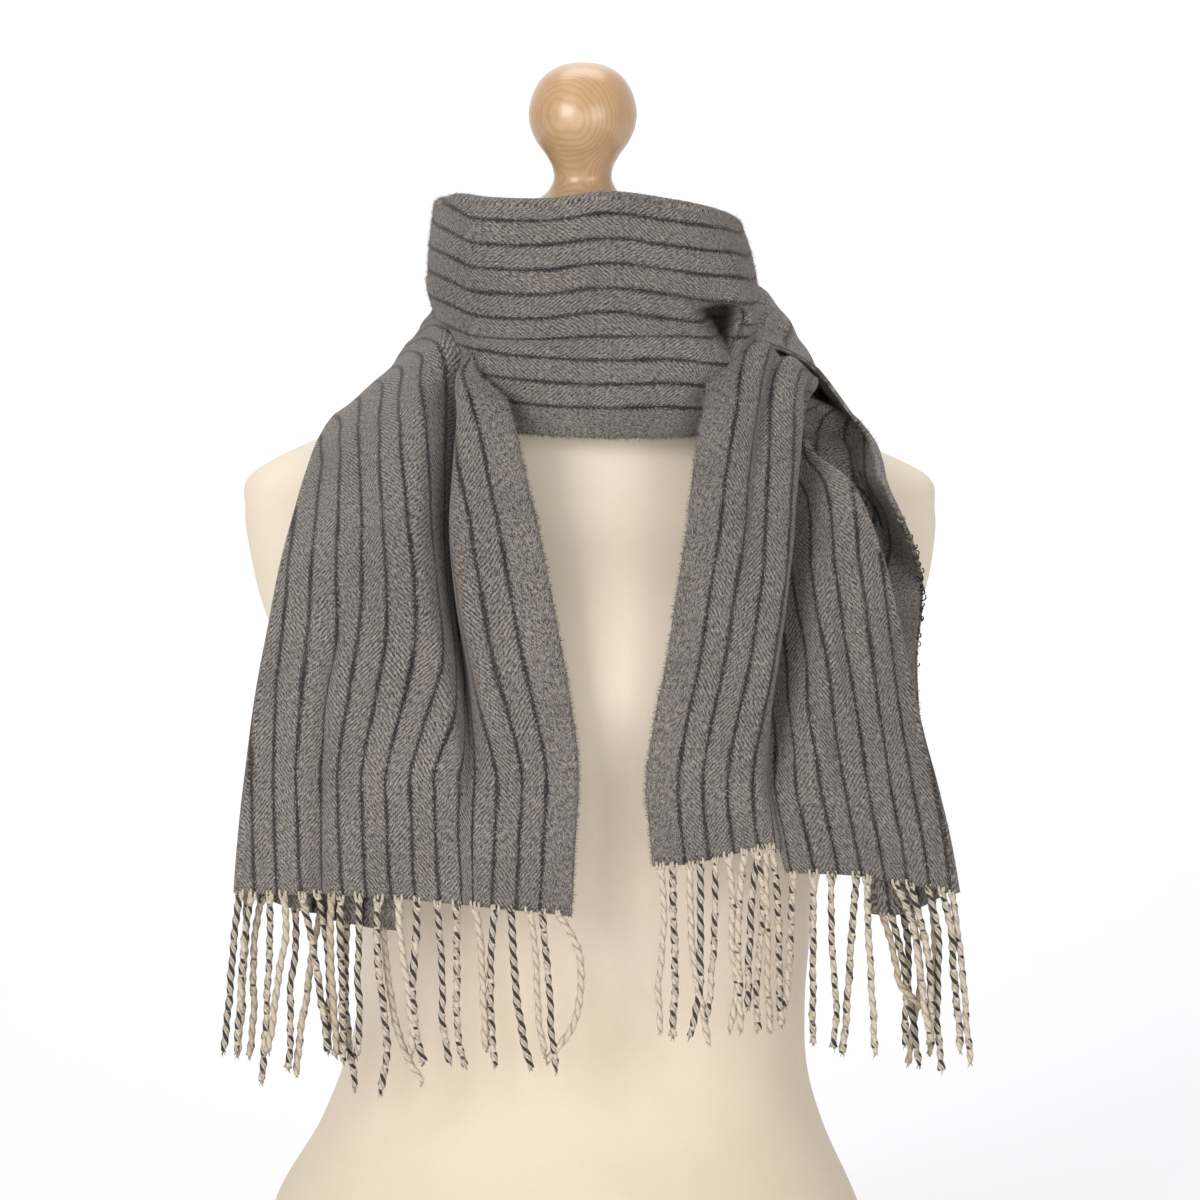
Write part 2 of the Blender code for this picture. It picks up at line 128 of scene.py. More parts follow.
# inner: the selvedge next to the neck; middle: a point half way across the front ply;
# outer: the lengthwise fold; back: how far the second ply goes back from the fold;
# sag: how much lower the second ply hangs; edge: the selvedge of a third ply.
Section = namedtuple("Section", "inner middle outer back sag edge", defaults=[(0, 0, 0)])
RIGHT_TAIL = rows_of(Section, [
    ((39, -146, 339), (122, -150, 338), (209, -125, 322), 46, 22, (199, -104, 313)),
    ((37, -147, 360), (120, -153, 357), (204, -127, 349), 44, 10, (196, -106, 346)),
    ((35, -150, 385), (116, -155, 382), (197, -129, 378), 42, 0, (190, -108, 378)),
    ((39, -153, 419), (114, -156, 415), (189, -128, 408), 40, 0, (187, -102, 409)),
    ((46, -152, 455), (112, -153, 448), (181, -122, 444), 38, 0, (186, -84, 446)),
    ((51, -149, 488), (112, -149, 481), (174, -122, 475), 36, 0, (190, -62, 470)),
    ((57, -140, 524), (112, -137, 516), (165, -114, 510), 34, 0, (188, -80, 495)),
    ((62, -121, 560), (105, -119, 550), (152, -101, 543), 30, 0, (180, -84, 520)),
    ((67, -106, 587), (101, -102, 578), (139, -84, 567), 28, 0, (170, -77, 542)),
    ((71, -91, 606), (99, -86, 603), (132, -69, 588), 26, 0, (168, -56, 553)),
    ((78, -73, 616), (101, -67, 618), (131, -54, 600), 24, 0, (166, -34, 560)),
    ((85, -50, 615), (106, -44, 613), (133, -35, 598), 24, 0, (163, -14, 561)),
    ((88, -20, 620), (110, -14, 611), (132, -8, 591), 24, 0, (159, 6, 560)),
    ((91, 14, 646), (116, 16, 618), (133, 16, 592), 24, 0, (154, 24, 558)),
    ((91, 42, 649), (116, 50, 614), (138, 56, 574), 22, 0, (138, 52, 554)),
    ((86, 70, 660), (103, 84, 612), (121, 95, 556), 24, 0, (118, 86, 544)),
    ((52, 94, 666), (60, 110, 616), (67, 121, 562), 24, 0, (66, 106, 566)),
    ((5, 105, 677), (5, 120, 633), (5, 127, 580), 24, 0, (5, 112, 584)),
    ((-40, 94, 688), (-43, 106, 650), (-45, 110, 605), 18, 0, (-43, 95, 610)),
    ((-73, 62, 694), (-77, 67, 660), (-76, 69, 626), 12, 0, (-66, 61, 634)),
])
LEFT_TAIL = rows_of(Section, [
    ((-6, -142, 310), (-98, -148, 321), (-193, -125, 320), 92, 20),
    ((-4, -147, 350), (-98, -152, 352), (-190, -129, 353), 90, 6),
    ((-2, -151, 397), (-95, -155, 396), (-185, -130, 395), 88, 0),
    ((-7, -153, 437), (-94, -155, 435), (-180, -127, 432), 86, 0),
    ((-14, -151, 476), (-95, -150, 472), (-174, -116, 466), 82, 0),
    ((-22, -141, 517), (-94, -137, 509), (-168, -99, 500), 76, 0),
    ((-32, -120, 557), (-93, -113, 544), (-161, -73, 528), 68, 0),
    ((-43, -101, 593), (-94, -88, 574), (-156, -48, 548), 72, 0),
    ((-62, -85, 610), (-98, -62, 591), (-152, -29.5, 560.5), 74, 0),
    ((-68, -79, 627), (-103, -36, 602), (-147, -14, 569), 74, 0),
    ((-78, -58, 636), (-105, -8, 604), (-142, 12, 572), 74, 0),
    ((-83, -26, 638), (-108, 22, 602), (-138, 40, 564), 74, 0),
    ((-86, 14, 630), (-108, 52, 588), (-128, 73, 543), 72, 0),
    ((-82, 70, 605), (-92, 84, 569), (-104, 99, 523), 66, 0),
    ((-50, 88, 607), (-57, 100, 570), (-62, 110, 526), 50, 0),
    ((-12, 94, 636), (-12, 101, 609), (-12, 108, 578), 36, 0),
    ((10, 92, 650), (10, 99, 622), (10, 106, 592), 20, 0),
    ((29, 86, 660), (29, 93, 632), (29, 100, 602), 14, 0),
])
# the band's inner point is its lower selvedge, its outer point the fold along its top
NECK_BAND = rows_of(Section, [
    ((30, 100, 602), (30, 93, 632), (30, 86, 660), 40, 0),
    ((60, 76, 608), (63, 71, 642), (62, 65, 669), 54, 0),
    ((73, 40, 613), (77, 39, 648), (75, 37, 677), 58, 0),
    ((75, 4, 608), (80, 4, 650), (81, 4, 678), 62, 0),
    ((76, -28, 594), (88, -22, 643), (86, -18, 681), 76, 0),
    ((77, -56, 580), (97, -50, 628), (89, -42, 687), 98, 0),
    ((66, -80, 572), (91, -77, 634), (81, -68, 693), 116, 0),
    ((38, -86, 570), (48, -93, 640), (51, -90, 701), 124, 0),
    ((10, -88, 570), (12, -101, 640), (14, -101, 706), 128, 0),
    ((-18, -86, 571), (-22, -98, 641), (-20, -100, 702), 128, 0),
    ((-41, -81, 573), (-50, -88, 643), (-51, -91, 702), 124, 0),
    ((-60, -65, 578), (-74, -66, 652), (-71, -69, 703), 112, 0),
    ((-70, -38, 594), (-86, -32, 660), (-81, -35, 698), 94, 0),
    ((-73, 0, 608), (-84, 2, 662), (-84, 0, 696), 80, 0),
    ((-75, 36, 618), (-82, 36, 660), (-82, 34, 695), 68, 0),
    ((-76, 68, 626), (-77, 66, 660), (-73, 61, 694), 50, 0),
])
BACK_JOIN = (0.86, -0.30, 0.41)
LEFT_JOIN = (0.37, 0.93, 0.0)

# A crease presses the front ply in (or raises it, where depth is negative). near and far are its
# half widths towards the inner and the outer edge, path its places as (share of the stretch's
# length, share of the front ply's width), and slide how far the lip of the ply lies over it: of
# the outer side where it is positive, of the inner side where it is negative.
Crease = namedtuple("Crease", "depth near far path slide", defaults=[0.0])
CREASE_FADE = 0.3          # share of a crease's length over which each end fades out
LIP_SPREAD = 1.2
LEFT_CREASES = [
    Crease(42.0, 10.0, 3.2, [(0.72, -0.03), (0.58, 0.03), (0.535, 0.13), (0.499, 0.237),
        (0.446, 0.35), (0.389, 0.395), (0.351, 0.410), (0.313, 0.408), (0.267, 0.396), (0.19, 0.36),
        (0.06, 0.31)], 4.0),
    Crease(-3.5, 14.0, 22.0, [(0.58, 0.24), (0.499, 0.32), (0.42, 0.47), (0.33, 0.48), (0.16, 0.46)]),
    Crease(6.0, 4.0, 8.0, [(0.33, 0.70), (0.238, 0.742), (0.184, 0.775), (0.124, 0.767),
        (0.080, 0.758), (-0.10, 0.733)], -2.0),
    Crease(2.5, 9.0, 12.0, [(0.50, 0.10), (0.42, 0.15), (0.28, 0.17), (0.10, 0.14)]),
    Crease(2.2, 12.0, 16.0, [(0.22, 0.52), (0.12, 0.50), (-0.12, 0.47)]),
    Crease(2.5, 10.0, 12.0, [(0.46, 0.72), (0.36, 0.66), (0.22, 0.62)]),
    Crease(5.0, 5.0, 6.0, [(0.66, -0.02), (0.55, 0.0), (0.47, 0.0), (0.40, -0.01)]),
    Crease(10.0, 6.0, 6.0, [(1.25, 0.25), (0.85, 0.23), (0.62, 0.26)]),
    Crease(-6.5, 6.0, 6.0, [(1.25, 0.42), (0.85, 0.40), (0.60, 0.42)]),
    Crease(10.0, 6.0, 6.0, [(1.25, 0.60), (0.85, 0.57), (0.60, 0.62)]),
    Crease(-6.5, 6.0, 6.0, [(1.25, 0.80), (0.85, 0.78), (0.62, 0.78)]),
]
RIGHT_CREASES = [
    Crease(33.0, 5.5, 17.0, [(0.50, 1.05), (0.413, 0.96), (0.317, 0.667), (0.261, 0.567),
        (0.208, 0.508), (0.142, 0.45), (0.094, 0.433), (0.0, 0.41)], -3.5),
    Crease(5.0, 6.0, 9.0, [(0.34, 0.90), (0.30, 0.82), (0.261, 0.76), (0.194, 0.74), (0.12, 0.76)]),
    Crease(3.5, 6.0, 8.0, [(0.25, 0.66), (0.222, 0.62), (0.160, 0.60), (0.122, 0.642), (0.06, 0.68)]),
    Crease(6.0, 5.0, 8.0, [(0.52, 0.55), (0.447, 0.583), (0.409, 0.54), (0.369, 0.44), (0.311, 0.36),
        (0.20, 0.30)], 1.5),
    Crease(-3.0, 9.0, 9.0, [(0.52, 0.30), (0.44, 0.33), (0.38, 0.24), (0.28, 0.18)]),
    Crease(4.0, 5.0, 7.0, [(0.66, 0.0), (0.50, 0.0), (0.44, 0.0), (0.36, -0.03)]),
    Crease(7.0, 6.0, 6.0, [(1.15, 0.24), (0.85, 0.22), (0.58, 0.30)]),
    Crease(-5.0, 7.0, 6.0, [(1.15, 0.40), (0.85, 0.38), (0.58, 0.46)]),
    Crease(9.0, 6.0, 7.0, [(1.15, 0.58), (0.85, 0.55), (0.60, 0.62)]),
    Crease(-5.0, 7.0, 7.0, [(1.15, 0.78), (0.85, 0.74), (0.60, 0.78)]),
]
BAND_CREASES = [
    Crease(1.0, 8.0, 12.0, [(0.44, 0.30), (0.52, 0.36), (0.66, 0.33), (0.74, 0.40)]),
    Crease(-1.0, 9.0, 12.0, [(0.42, 0.62), (0.52, 0.66), (0.64, 0.62), (0.72, 0.58)]),
    Crease(11.0, 6.0, 7.0, [(0.68, 0.30), (0.84, 0.32), (1.25, 0.30)]),
    Crease(-1.5, 6.0, 6.0, [(0.70, 0.54), (0.84, 0.55), (1.25, 0.56)]),
    Crease(11.0, 6.0, 7.0, [(-0.25, 0.30), (0.12, 0.32), (0.30, 0.30)]),
    Crease(-3.0, 6.0, 6.0, [(-0.25, 0.56), (0.12, 0.55), (0.30, 0.56)]),
]
# A dent is a hollow (or a swelling, where depth is negative), pressed in along DENT_PUSH. above
# and below are its half sizes towards the fold and the selvedge, and taper narrows its foot.
Dent = namedtuple("Dent", "depth station share along above below lean taper steep")
DENT_PUSH = (-0.10, 0.995, 0.0)
TAPER_REACH = 1.5          # where a foot is narrowest, in half sizes below the dent's middle
BAND_DENTS = [
    Dent(48.0, 0.4165, 0.57, 14.0, 5.0, 20.0, 0.16, 0.78, 2.6),
    Dent(-6.0, 0.428, 0.36, 10.0, 8.0, 9.0, 0.0, 0.0, 1.0),
    Dent(4.0, 0.45, 0.56, 20.0, 6.0, 9.0, 0.0, 0.0, 1.0),
    Dent(5.0, 0.69, 0.12, 16.0, 14.0, 14.0, 0.0, 0.0, 1.0),
    Dent(-3.0, 0.70, 0.34, 14.0, 14.0, 14.0, 0.0, 0.0, 1.0),
]
# how far the third ply of the right stretch folds over the shoulder on top of the front ply
Lapel = namedtuple("Lapel", "station length")
LAPELS = rows_of(Lapel, [
    (0.0, 0.8), (0.24, 0.8), (0.3, 3), (0.36, 5), (0.44, 7), (0.458, 9), (0.47, 16), (0.479, 30),
    (0.486, 52), (0.493, 80), (0.5, 104), (0.64, 106), (0.71, 60), (0.78, 0.8), (1.0, 0.8),
])
LAPEL_GAP = 3.0
LAPEL_TURN = 4.0
LAPEL_TURN_POINTS = 20
LAPEL_POINTS = 26
# the hollow in the third ply beside the fold of the front ply
HOLLOW = 40.0
HOLLOW_START = 0.22
HOLLOW_END = 0.52
HOLLOW_SKEW = 1.6          # above 1, the hollow is deepest beyond the middle of the ply

# Where the lengthwise folds lie across the woven width, and where the front ply hides the cloth
# that its width doesn't show. The hidden plies take theirs up at fixed shares of their width.
Fold = namedtuple("Fold", "station start first second hidden")
TAKE_UP_PLACES = (0.5, 0.14)
TAKE_UP_SPREADS = (0.035, 0.05, 0.05)
LEFT_FOLDS = rows_of(Fold, [
    (0.0, 0, 203, 0, 0.3), (0.2, 0, 188, 0, 0.36), (0.27, 0, 186, 0, 0.392), (0.35, 0, 181, 0, 0.405),
    (0.4, 0, 178, 0, 0.385), (0.446, 0, 176, 0, 0.345), (0.47, 5, 172, 0, 0.295),
    (0.5, 12, 168, 0, 0.235), (0.535, 24, 160, 0, 0.13), (0.58, 36, 150, 0, 0.03),
    (0.72, 20, 140, 0, 0.0), (1.0, 0, 110, 0, 0.0),
])
RIGHT_FOLDS = rows_of(Fold, [
    (0.0, 0, 196, 240, 0.41), (0.142, 0, 190, 234, 0.45), (0.208, 0, 185, 228, 0.508),
    (0.261, 0, 180, 222, 0.567), (0.317, 0, 168, 214, 0.667), (0.413, 0, 150, 195, 0.95),
    (0.46, 0, 100, 185, 0.97), (0.5, 0, 100, 180, 0.6), (1.0, 0, 120, 190, 0.45),
])
BAND_FOLDS = rows_of(Fold, [
    (0.0, 0, 80, 0, 0.4), (0.38, 0, 134, 0, 0.5), (0.7, 0, 134, 0, 0.4), (1.0, 0, 100, 0, 0.4),
])

# how much higher than its row's line the hem hangs, at shares of the front ply
Hem = namedtuple("Hem", "share rise")
HEM_REACH = 40.0
RIGHT_HEM = rows_of(Hem, [
    (0.0, 0), (0.12, 1), (0.24, 7), (0.36, 12), (0.405, 11), (0.425, -2), (0.6, -1), (1.0, -2),
])

# One cord of a fringe: the place of its root in x, the height that it falls, how far aside it is at
# each quarter of that fall, how much of it is dark, its tone from cream (0) to beige (1), and the
# ply that it hangs from.
Strand = namedtuple("Strand", "x fall aside dark tone ply", defaults=[0])
LEFT_STRANDS = rows_of(Strand, [
    (-190, 90, (-3, -5, -7, -10), 0.6, 0.3), (-183, 90, (-4, -6, -7.5, -9.5), 0.5, 0.3),
    (-187, 94, (0, -2, -3, -6), 0.4, 0.4, 1), (-178, 91, (-4, -5, -5, -8), 0.35, 0.6, 1),
    (-173, 107, (0, -1.5, -3, -5.5), 0.5, 0.3), (-165, 90, (1, -3, -6, -9.5), 0.0, 0.45),
    (-159, 91, (0, -3, -3, -4.5), 0.55, 0.4, 1), (-155, 89, (5, 8.5, 11.5, 14.5), 0.5, 0.3),
    (-145, 93, (-5, -8, -12, -14), 0.4, 0.5, 1), (-146, 90, (4, 6, 5.5, 4.5), 0.6, 0.3),
    (-138, 91, (-1, -0.5, 1, 2), 0.0, 0.9), (-133, 94, (-0.5, 0.5, 0.5, 1), 0.55, 0.2),
    (-123, 91, (0, -1, 0, -2), 0.6, 0.2), (-130, 95, (-1, -1, 1, 4), 0.5, 0.3, 1),
    (-112, 112, (-1, 1.5, 4, 0), 0.5, 0.2), (-101, 88, (1, 4, 6.5, 7), 0.0, 0.1),
    (-110, 87, (2, 5, 10, 21), 0.0, 0.0, 1), (-91, 92, (-0.5, -2.5, -1.5, 3), 0.55, 0.1),
    (-80, 91, (2, 3, 3, 7), 0.6, 0.1), (-69, 92, (0, 0, 0, 4), 0.5, 0.1),
    (-59, 82, (3, 4, 5, 6), 0.0, 0.25), (-48, 89, (-2, -2.5, -2, 0), 0.55, 0.1),
    (-39, 90, (1, 2.5, 5.5, 10.5), 0.65, 0.1), (-29, 80, (3, 4, 5, 8), 0.0, 0.1),
    (-22, 90, (2, 4, 5, 8), 0.6, 0.1), (-13, 83, (11, 12, 8, -7), 0.0, 0.1),
])
RIGHT_STRANDS = rows_of(Strand, [
    (43, 93, (2, 1, -1, 0.5), 0.0, 0.0), (50, 97, (0, 1, 1, -0.5), 0.5, 0.1),
    (59, 101, (0.5, 2, 6, 11), 0.0, 0.05), (65, 99, (0, 0, -0.5, -6), 0.6, 0.1),
    (73, 91, (0, -0.5, -2, -4), 0.5, 0.1), (80, 99, (2.5, 2, 5, 1), 0.3, 0.1),
    (89, 101, (-2.5, -3.5, -2.5, -2), 0.4, 0.1), (98, 91, (-4.5, -5.5, -6.5, -6.5), 0.6, 0.1),
    (95, 102, (4, 3, 1, 1.5), 0.45, 0.3), (104, 100, (3, 4, 4.5, 5.5), 0.5, 0.2),
    (101, 104, (0, 1, 1, 3), 0.3, 0.4), (116, 75, (-1, -1.5, -2.5, -4.5), 0.45, 0.3),
    (127, 96, (0, 0, 0, 0), 0.45, 0.3), (137, 98, (0, 1, 3, 1.5), 0.5, 0.2),
    (151, 100, (-2, -3.5, -5, -7), 0.5, 0.2), (157, 100, (0.5, 2, 3.5, 5), 0.4, 0.2),
    (166, 55, (4.5, 7.5, 11, 25), 0.0, 1.0, 1), (171, 75, (5, 8.5, 8.5, 8), 0.55, 0.4, 1),
    (177, 93, (4.5, 4.5, 8, 11), 0.6, 0.4, 2), (182, 92, (5, 6.5, 3, 0), 0.0, 1.0, 2),
    (173, 91, (9, 13, 16, 20), 0.45, 0.2), (181, 91, (6.5, 11, 12, 12), 0.5, 0.2),
    (191, 104, (6, 6, 6, 9), 0.6, 0.2), (199, 92, (5.5, 7, 9.5, 11.5), 0.5, 0.2),
    (195, 90, (2, 2.5, 1.5, -0.5), 0.0, 0.95, 2), (205, 97, (3.5, 6.5, 8.5, 11), 0.4, 0.2),
])
CORD_RADIUS = 1.85
CORD_TURN = 15.5           # length of one turn of the two plies
CORD_RINGS = 64
CORD_SIDES = 10
CORD_LOBES = 0.15          # how far the two plies stand out, as a share of the radius
ROOT_YARNS = (-1.7, 0.1, 1.6)   # where the yarns of a cord's root leave the hem, beside it
TIP_FIBRES = 7

# The nap: short hairs that lie down the cloth and lift a little from it.
HAIR_WIDTH = 0.13
HAIR_LENGTHS = (1.8, 4.6)
HAIR_LIFT = (0.05, 0.75)
HAIR_SLANT = 0.55          # spread of their directions, in radians
HAIR_ROOT = 0.1            # how deep they start in the cloth
FRAY_WIDTH = 0.22
FRAY_LENGTHS = (0.9, 2.8)
FRAY_LIFT = (-0.5, 0.5)
FRAY_SLANT = 0.6
FRAYS_PER_MM = 3.0
# loops of yarn that have come loose along the selvedge of the right stretch's third ply
LOOSE_STATIONS = (0.165, 0.335)
LOOSE_COUNT = 30
LOOSE_SIZES = (2.6, 4.8)
LOOSE_RADIUS = 0.45
LOOSE_ROOT = 1.8           # how far inside the selvedge they start


def curve_through(keys, values, places):
    """Read a smooth curve through the values at the keys, at the given places."""
    keys = np.asarray(keys, dtype=float)
    values = np.asarray(values, dtype=float)
    places = np.atleast_1d(np.asarray(places, dtype=float))
    slopes = np.gradient(values, keys, axis=0, edge_order=2 if len(keys) > 2 else 1)
    low = np.clip(np.searchsorted(keys, places, side="right") - 1, 0, len(keys) - 2)
    span = keys[low + 1] - keys[low]
    share = (places - keys[low]) / span
    if values.ndim > 1:
        share = share[:, None]
        span = span[:, None]
    rise = share * share * (3.0 - 2.0 * share)
    lead_in = share * (1.0 - share) ** 2
    lead_out = -share * share * (1.0 - share)
    return (values[low] * (1.0 - rise) + values[low + 1] * rise
            + slopes[low] * span * lead_in + slopes[low + 1] * span * lead_out)


def unit(vectors):
    """The vectors at length one."""
    return vectors / np.linalg.norm(vectors, axis=-1, keepdims=True)


def smooth(values):
    """Ease from 0 to 1 as the values go from 0 to 1."""
    values = np.clip(values, 0.0, 1.0)
    return values * values * (3.0 - 2.0 * values)


def half_wave(value, start, end):
    """Rise from 0 at the start to 1 half way and back to 0 at the end."""
    return math.sin(math.pi * min(max((value - start) / (end - start), 0.0), 1.0))


def run_lengths(points):
    """Distance of each point along its line."""
    steps = np.linalg.norm(np.diff(points, axis=0), axis=-1)
    start = np.zeros((1,) + steps.shape[1:])
    return np.concatenate([start, np.cumsum(steps, axis=0)])


def new_object(name, points, faces, material, uvs=None, at_corners=False):
    """A mesh object from points in millimetres, with texture places at each point, or at each
    corner of the faces."""
    mesh = bpy.data.meshes.new(name)
    mesh.from_pydata((np.asarray(points, dtype=float) * MM).tolist(), [], faces)
    corners = np.arange(len(mesh.loops), dtype=np.int32)
    if not at_corners:
        mesh.loops.foreach_get("vertex_index", corners)
    for layer_name, values in (uvs or {}).items():
        layer = mesh.uv_layers.new(name=layer_name)
        layer.data.foreach_set("uv", np.asarray(values, dtype=np.float32)[corners].ravel())
    mesh.shade_smooth()
    mesh.materials.append(material)
    thing = bpy.data.objects.new(name, mesh)
    bpy.context.scene.collection.objects.link(thing)
    return thing


def face_outwards(thing):
    """Turn every face of a closed mesh outwards."""
    shape = bmesh.new()
    shape.from_mesh(thing.data)
    bmesh.ops.recalc_face_normals(shape, faces=shape.faces[:])
    shape.to_mesh(thing.data)
    shape.free()


def crease_shift(creases, share, width, station):
    """How far the creases press the front ply in and slide it across, at shares of its width."""
    depth = np.zeros_like(share)
    across = np.zeros_like(share)
    for crease in creases:
        path = sorted(crease.path)
        first, last = path[0][0], path[-1][0]
        if not first < station < last:
            continue
        ramp = CREASE_FADE * (last - first)
        fade = smooth((station - first) / ramp) * smooth((last - station) / ramp)
        place = float(curve_through([p[0] for p in path], [p[1] for p in path], station)[0])
        away = (share - place) * width
        spread = np.where(away < 0.0, crease.near, crease.far)
        depth += crease.depth * fade * np.exp(-(away / spread) ** 2)
        lip = crease.far if crease.slide > 0.0 else -crease.near
        across -= crease.slide * fade * np.exp(-((away / lip - 1.0) / LIP_SPREAD) ** 2)
    return depth, across


def dent_depth(dents, share, width, station, length):
    """How far the dents press the front ply in, at shares of its width."""
    depth = np.zeros_like(share)
    for dent in dents:
        over = (share - dent.share) * width
        along = (station - dent.station) * length - dent.lean * over
        narrow = 1.0 - dent.taper * smooth(-over / (TAPER_REACH * dent.below))
        spread = np.where(over > 0.0, dent.above, dent.below)
        away = (along / (dent.along * narrow)) ** 2 + (over / spread) ** 2
        depth += dent.depth * np.exp(-away ** dent.steep)
    return depth


def column_shares(place):
    """Shares across the front ply, closer together beside the place of its deepest crease."""
    fine = np.linspace(0.0, 1.0, CROWD_STEPS)
    crowd = np.cumsum(1.0 + CROWDING * np.exp(-((fine - place) / CROWD_REACH) ** 2))
    crowd = (crowd - crowd[0]) / (crowd[-1] - crowd[0])
    return np.interp(np.linspace(0.0, 1.0, FRONT_POINTS), crowd, fine)


def uneven(share, station, seed, height):
    """Small soft waves that keep a ply from being perfectly even."""
    along = station * 11.0 + seed
    return height * (0.7 * np.sin(share * 9.0 + 1.9 * np.sin(along)) * math.sin(along * 0.8)
                     + 0.5 * np.sin(share * 21.0 - along * 0.9 + seed)
                     + 0.35 * np.sin(share * 4.0 + along * 2.7))


def half_turn(centre, normal, across):
    """Points round a fold, from the front ply to the one behind it."""
    swings = np.linspace(math.pi / 2, -math.pi / 2, TURN_POINTS + 2)[1:-1]
    return [centre + FOLD_GAP / 2 * (across * math.cos(s) + normal * math.sin(s)) for s in swings]


def spread_over(points, start, end, place, spread):
    """Places across the woven width for points across a ply. Cloth that the ply has no room for
    is taken up round one place, where a crease hides it. Both are shares of the ply's width."""
    arc = run_lengths(points)
    spare = (end - start) - arc[-1]
    if spare <= 0.0:
        return start + arc / arc[-1] * (end - start)
    return start + arc + spare * smooth((arc / arc[-1] - place) / (2.0 * spread) + 0.5)


def bend_round(start, out, end, back):
    """Points on a smooth turn that leaves the start outwards and comes back into the end."""
    parts = np.linspace(0.0, 1.0, LAPEL_TURN_POINTS)[:, None]
    first, second = start + out * LAPEL_TURN, end + back * LAPEL_TURN
    return (start * (1 - parts) ** 3 + 3 * first * parts * (1 - parts) ** 2
            + 3 * second * parts ** 2 * (1 - parts) + end * parts ** 3)


def third_ply_points(row, start, normal, across, share, press, station):
    """Points from the second ply's edge round to the third ply's selvedge. It follows the front
    ply's creases, swells where it rolls, and is hollow beside the fold."""
    inner, outer, edge = row[0:3], row[6:9], row[11:14]
    valley = start - normal * FOLD_GAP
    parts = np.linspace(0.0, 1.0, THIRD_POINTS)
    third = valley + (edge - valley) * parts[:, None]
    places = (third - inner) @ across / np.linalg.norm(outer - inner)
    press = np.interp(places, share, press)
    press = np.maximum(press - press[0] * (1.0 - parts), 0.0) * (1.0 - parts ** 4)
    power = ROLL_PLACE / (1.0 - ROLL_PLACE)
    peak = ROLL_PLACE ** power * (1.0 - ROLL_PLACE)
    swell = half_wave(station, CREST_START, CREST_END)
    roll = CREST_ROLL * swell * parts ** power * (1.0 - parts) / peak
    third = third + normal * (roll - press)[:, None]
    bell = half_wave(station, HOLLOW_START, HOLLOW_END)
    third[:, 1] += HOLLOW * bell * np.sin(math.pi * parts ** HOLLOW_SKEW)
    return half_turn(start - normal * FOLD_GAP / 2, normal, -across) + list(third)


def lapel_points(start, outward, above, across, station):
    """Points of the lapel, which turns from the third ply's edge over the front ply."""
    line = np.concatenate([bend_round(start, outward, above[-1], across), above[-2::-1]])
    reach = np.interp(station, [p.station for p in LAPELS], [p.length for p in LAPELS])
    stops = np.linspace(0.0, reach, LAPEL_POINTS)[1:]
    arc = run_lengths(line)
    return list(np.stack([np.interp(stops, arc, line[:, axis]) for axis in range(3)], axis=1))


def section_points(row, travel, side, creases, dents, fold, station, length, third_ply, seed, waves, hem):
    """Points across the cloth at one station and their places across the woven width."""
    inner, middle, outer = row[0:3], row[3:6], row[6:9]
    back, sag = row[9], row[10]
    woven_start, first, second, hidden = fold
    down = np.array([0.0, 0.0, -1.0])
    across = unit(outer - inner)
    normal = side * unit(np.cross(across, travel))
    turn = outer - across * FOLD_GAP / 2
    half = np.linalg.norm(middle - inner)
    mid_share = half / (half + np.linalg.norm(turn - middle))
    share = column_shares(hidden)
    front = curve_through([0.0, mid_share, 1.0], [inner, middle, turn], share)
    width = run_lengths(front)[-1]
    press, slide = crease_shift(creases, share, width, station)
    press += uneven(share, station, seed, waves)
    front = front - normal * press[:, None] + across * slide[:, None]
    undented = front.copy()
    front += np.array(DENT_PUSH) * dent_depth(dents, share, width, station, length)[:, None]
    rise = np.interp(share, [h.share for h in hem], [h.rise for h in hem])
    front[:, 2] += rise * math.exp(-station * length / HEM_REACH)

    def under(distance):
        place = 1.0 - distance / width
        above = np.array([np.interp(place, share, front[:, axis]) for axis in range(3)])
        return above - normal * FOLD_GAP

    plies = [front]
    second_ply = half_turn(front[-1] - normal * FOLD_GAP / 2, normal, across)
    parts = np.linspace(0.0, 1.0, BACK_POINTS)
    second_ply += [under(part * back) + down * sag * math.sin(part * math.pi / 2) for part in parts]
    plies.append(np.array(second_ply))
    if third_ply:
        third = third_ply_points(row, second_ply[-1], normal, across, share, press, station)
        outward = unit(third[-1] - third[-4])
        lapel = lapel_points(third[-1], outward, front + normal * (LAPEL_GAP + CLOTH), across, station)
        plies.append(np.array(third + lapel))
    ends = [woven_start, first, second, SCARF_WIDTH] if third_ply else [woven_start, first, SCARF_WIDTH]
    lines = [undented] + plies[1:]
    woven = [spread_over(line, start, end, place, spread) for line, start, end, place, spread
             in zip(lines, ends[:-1], ends[1:], (hidden, *TAKE_UP_PLACES), TAKE_UP_SPREADS)]
    return np.concatenate(plies), np.concatenate(woven)


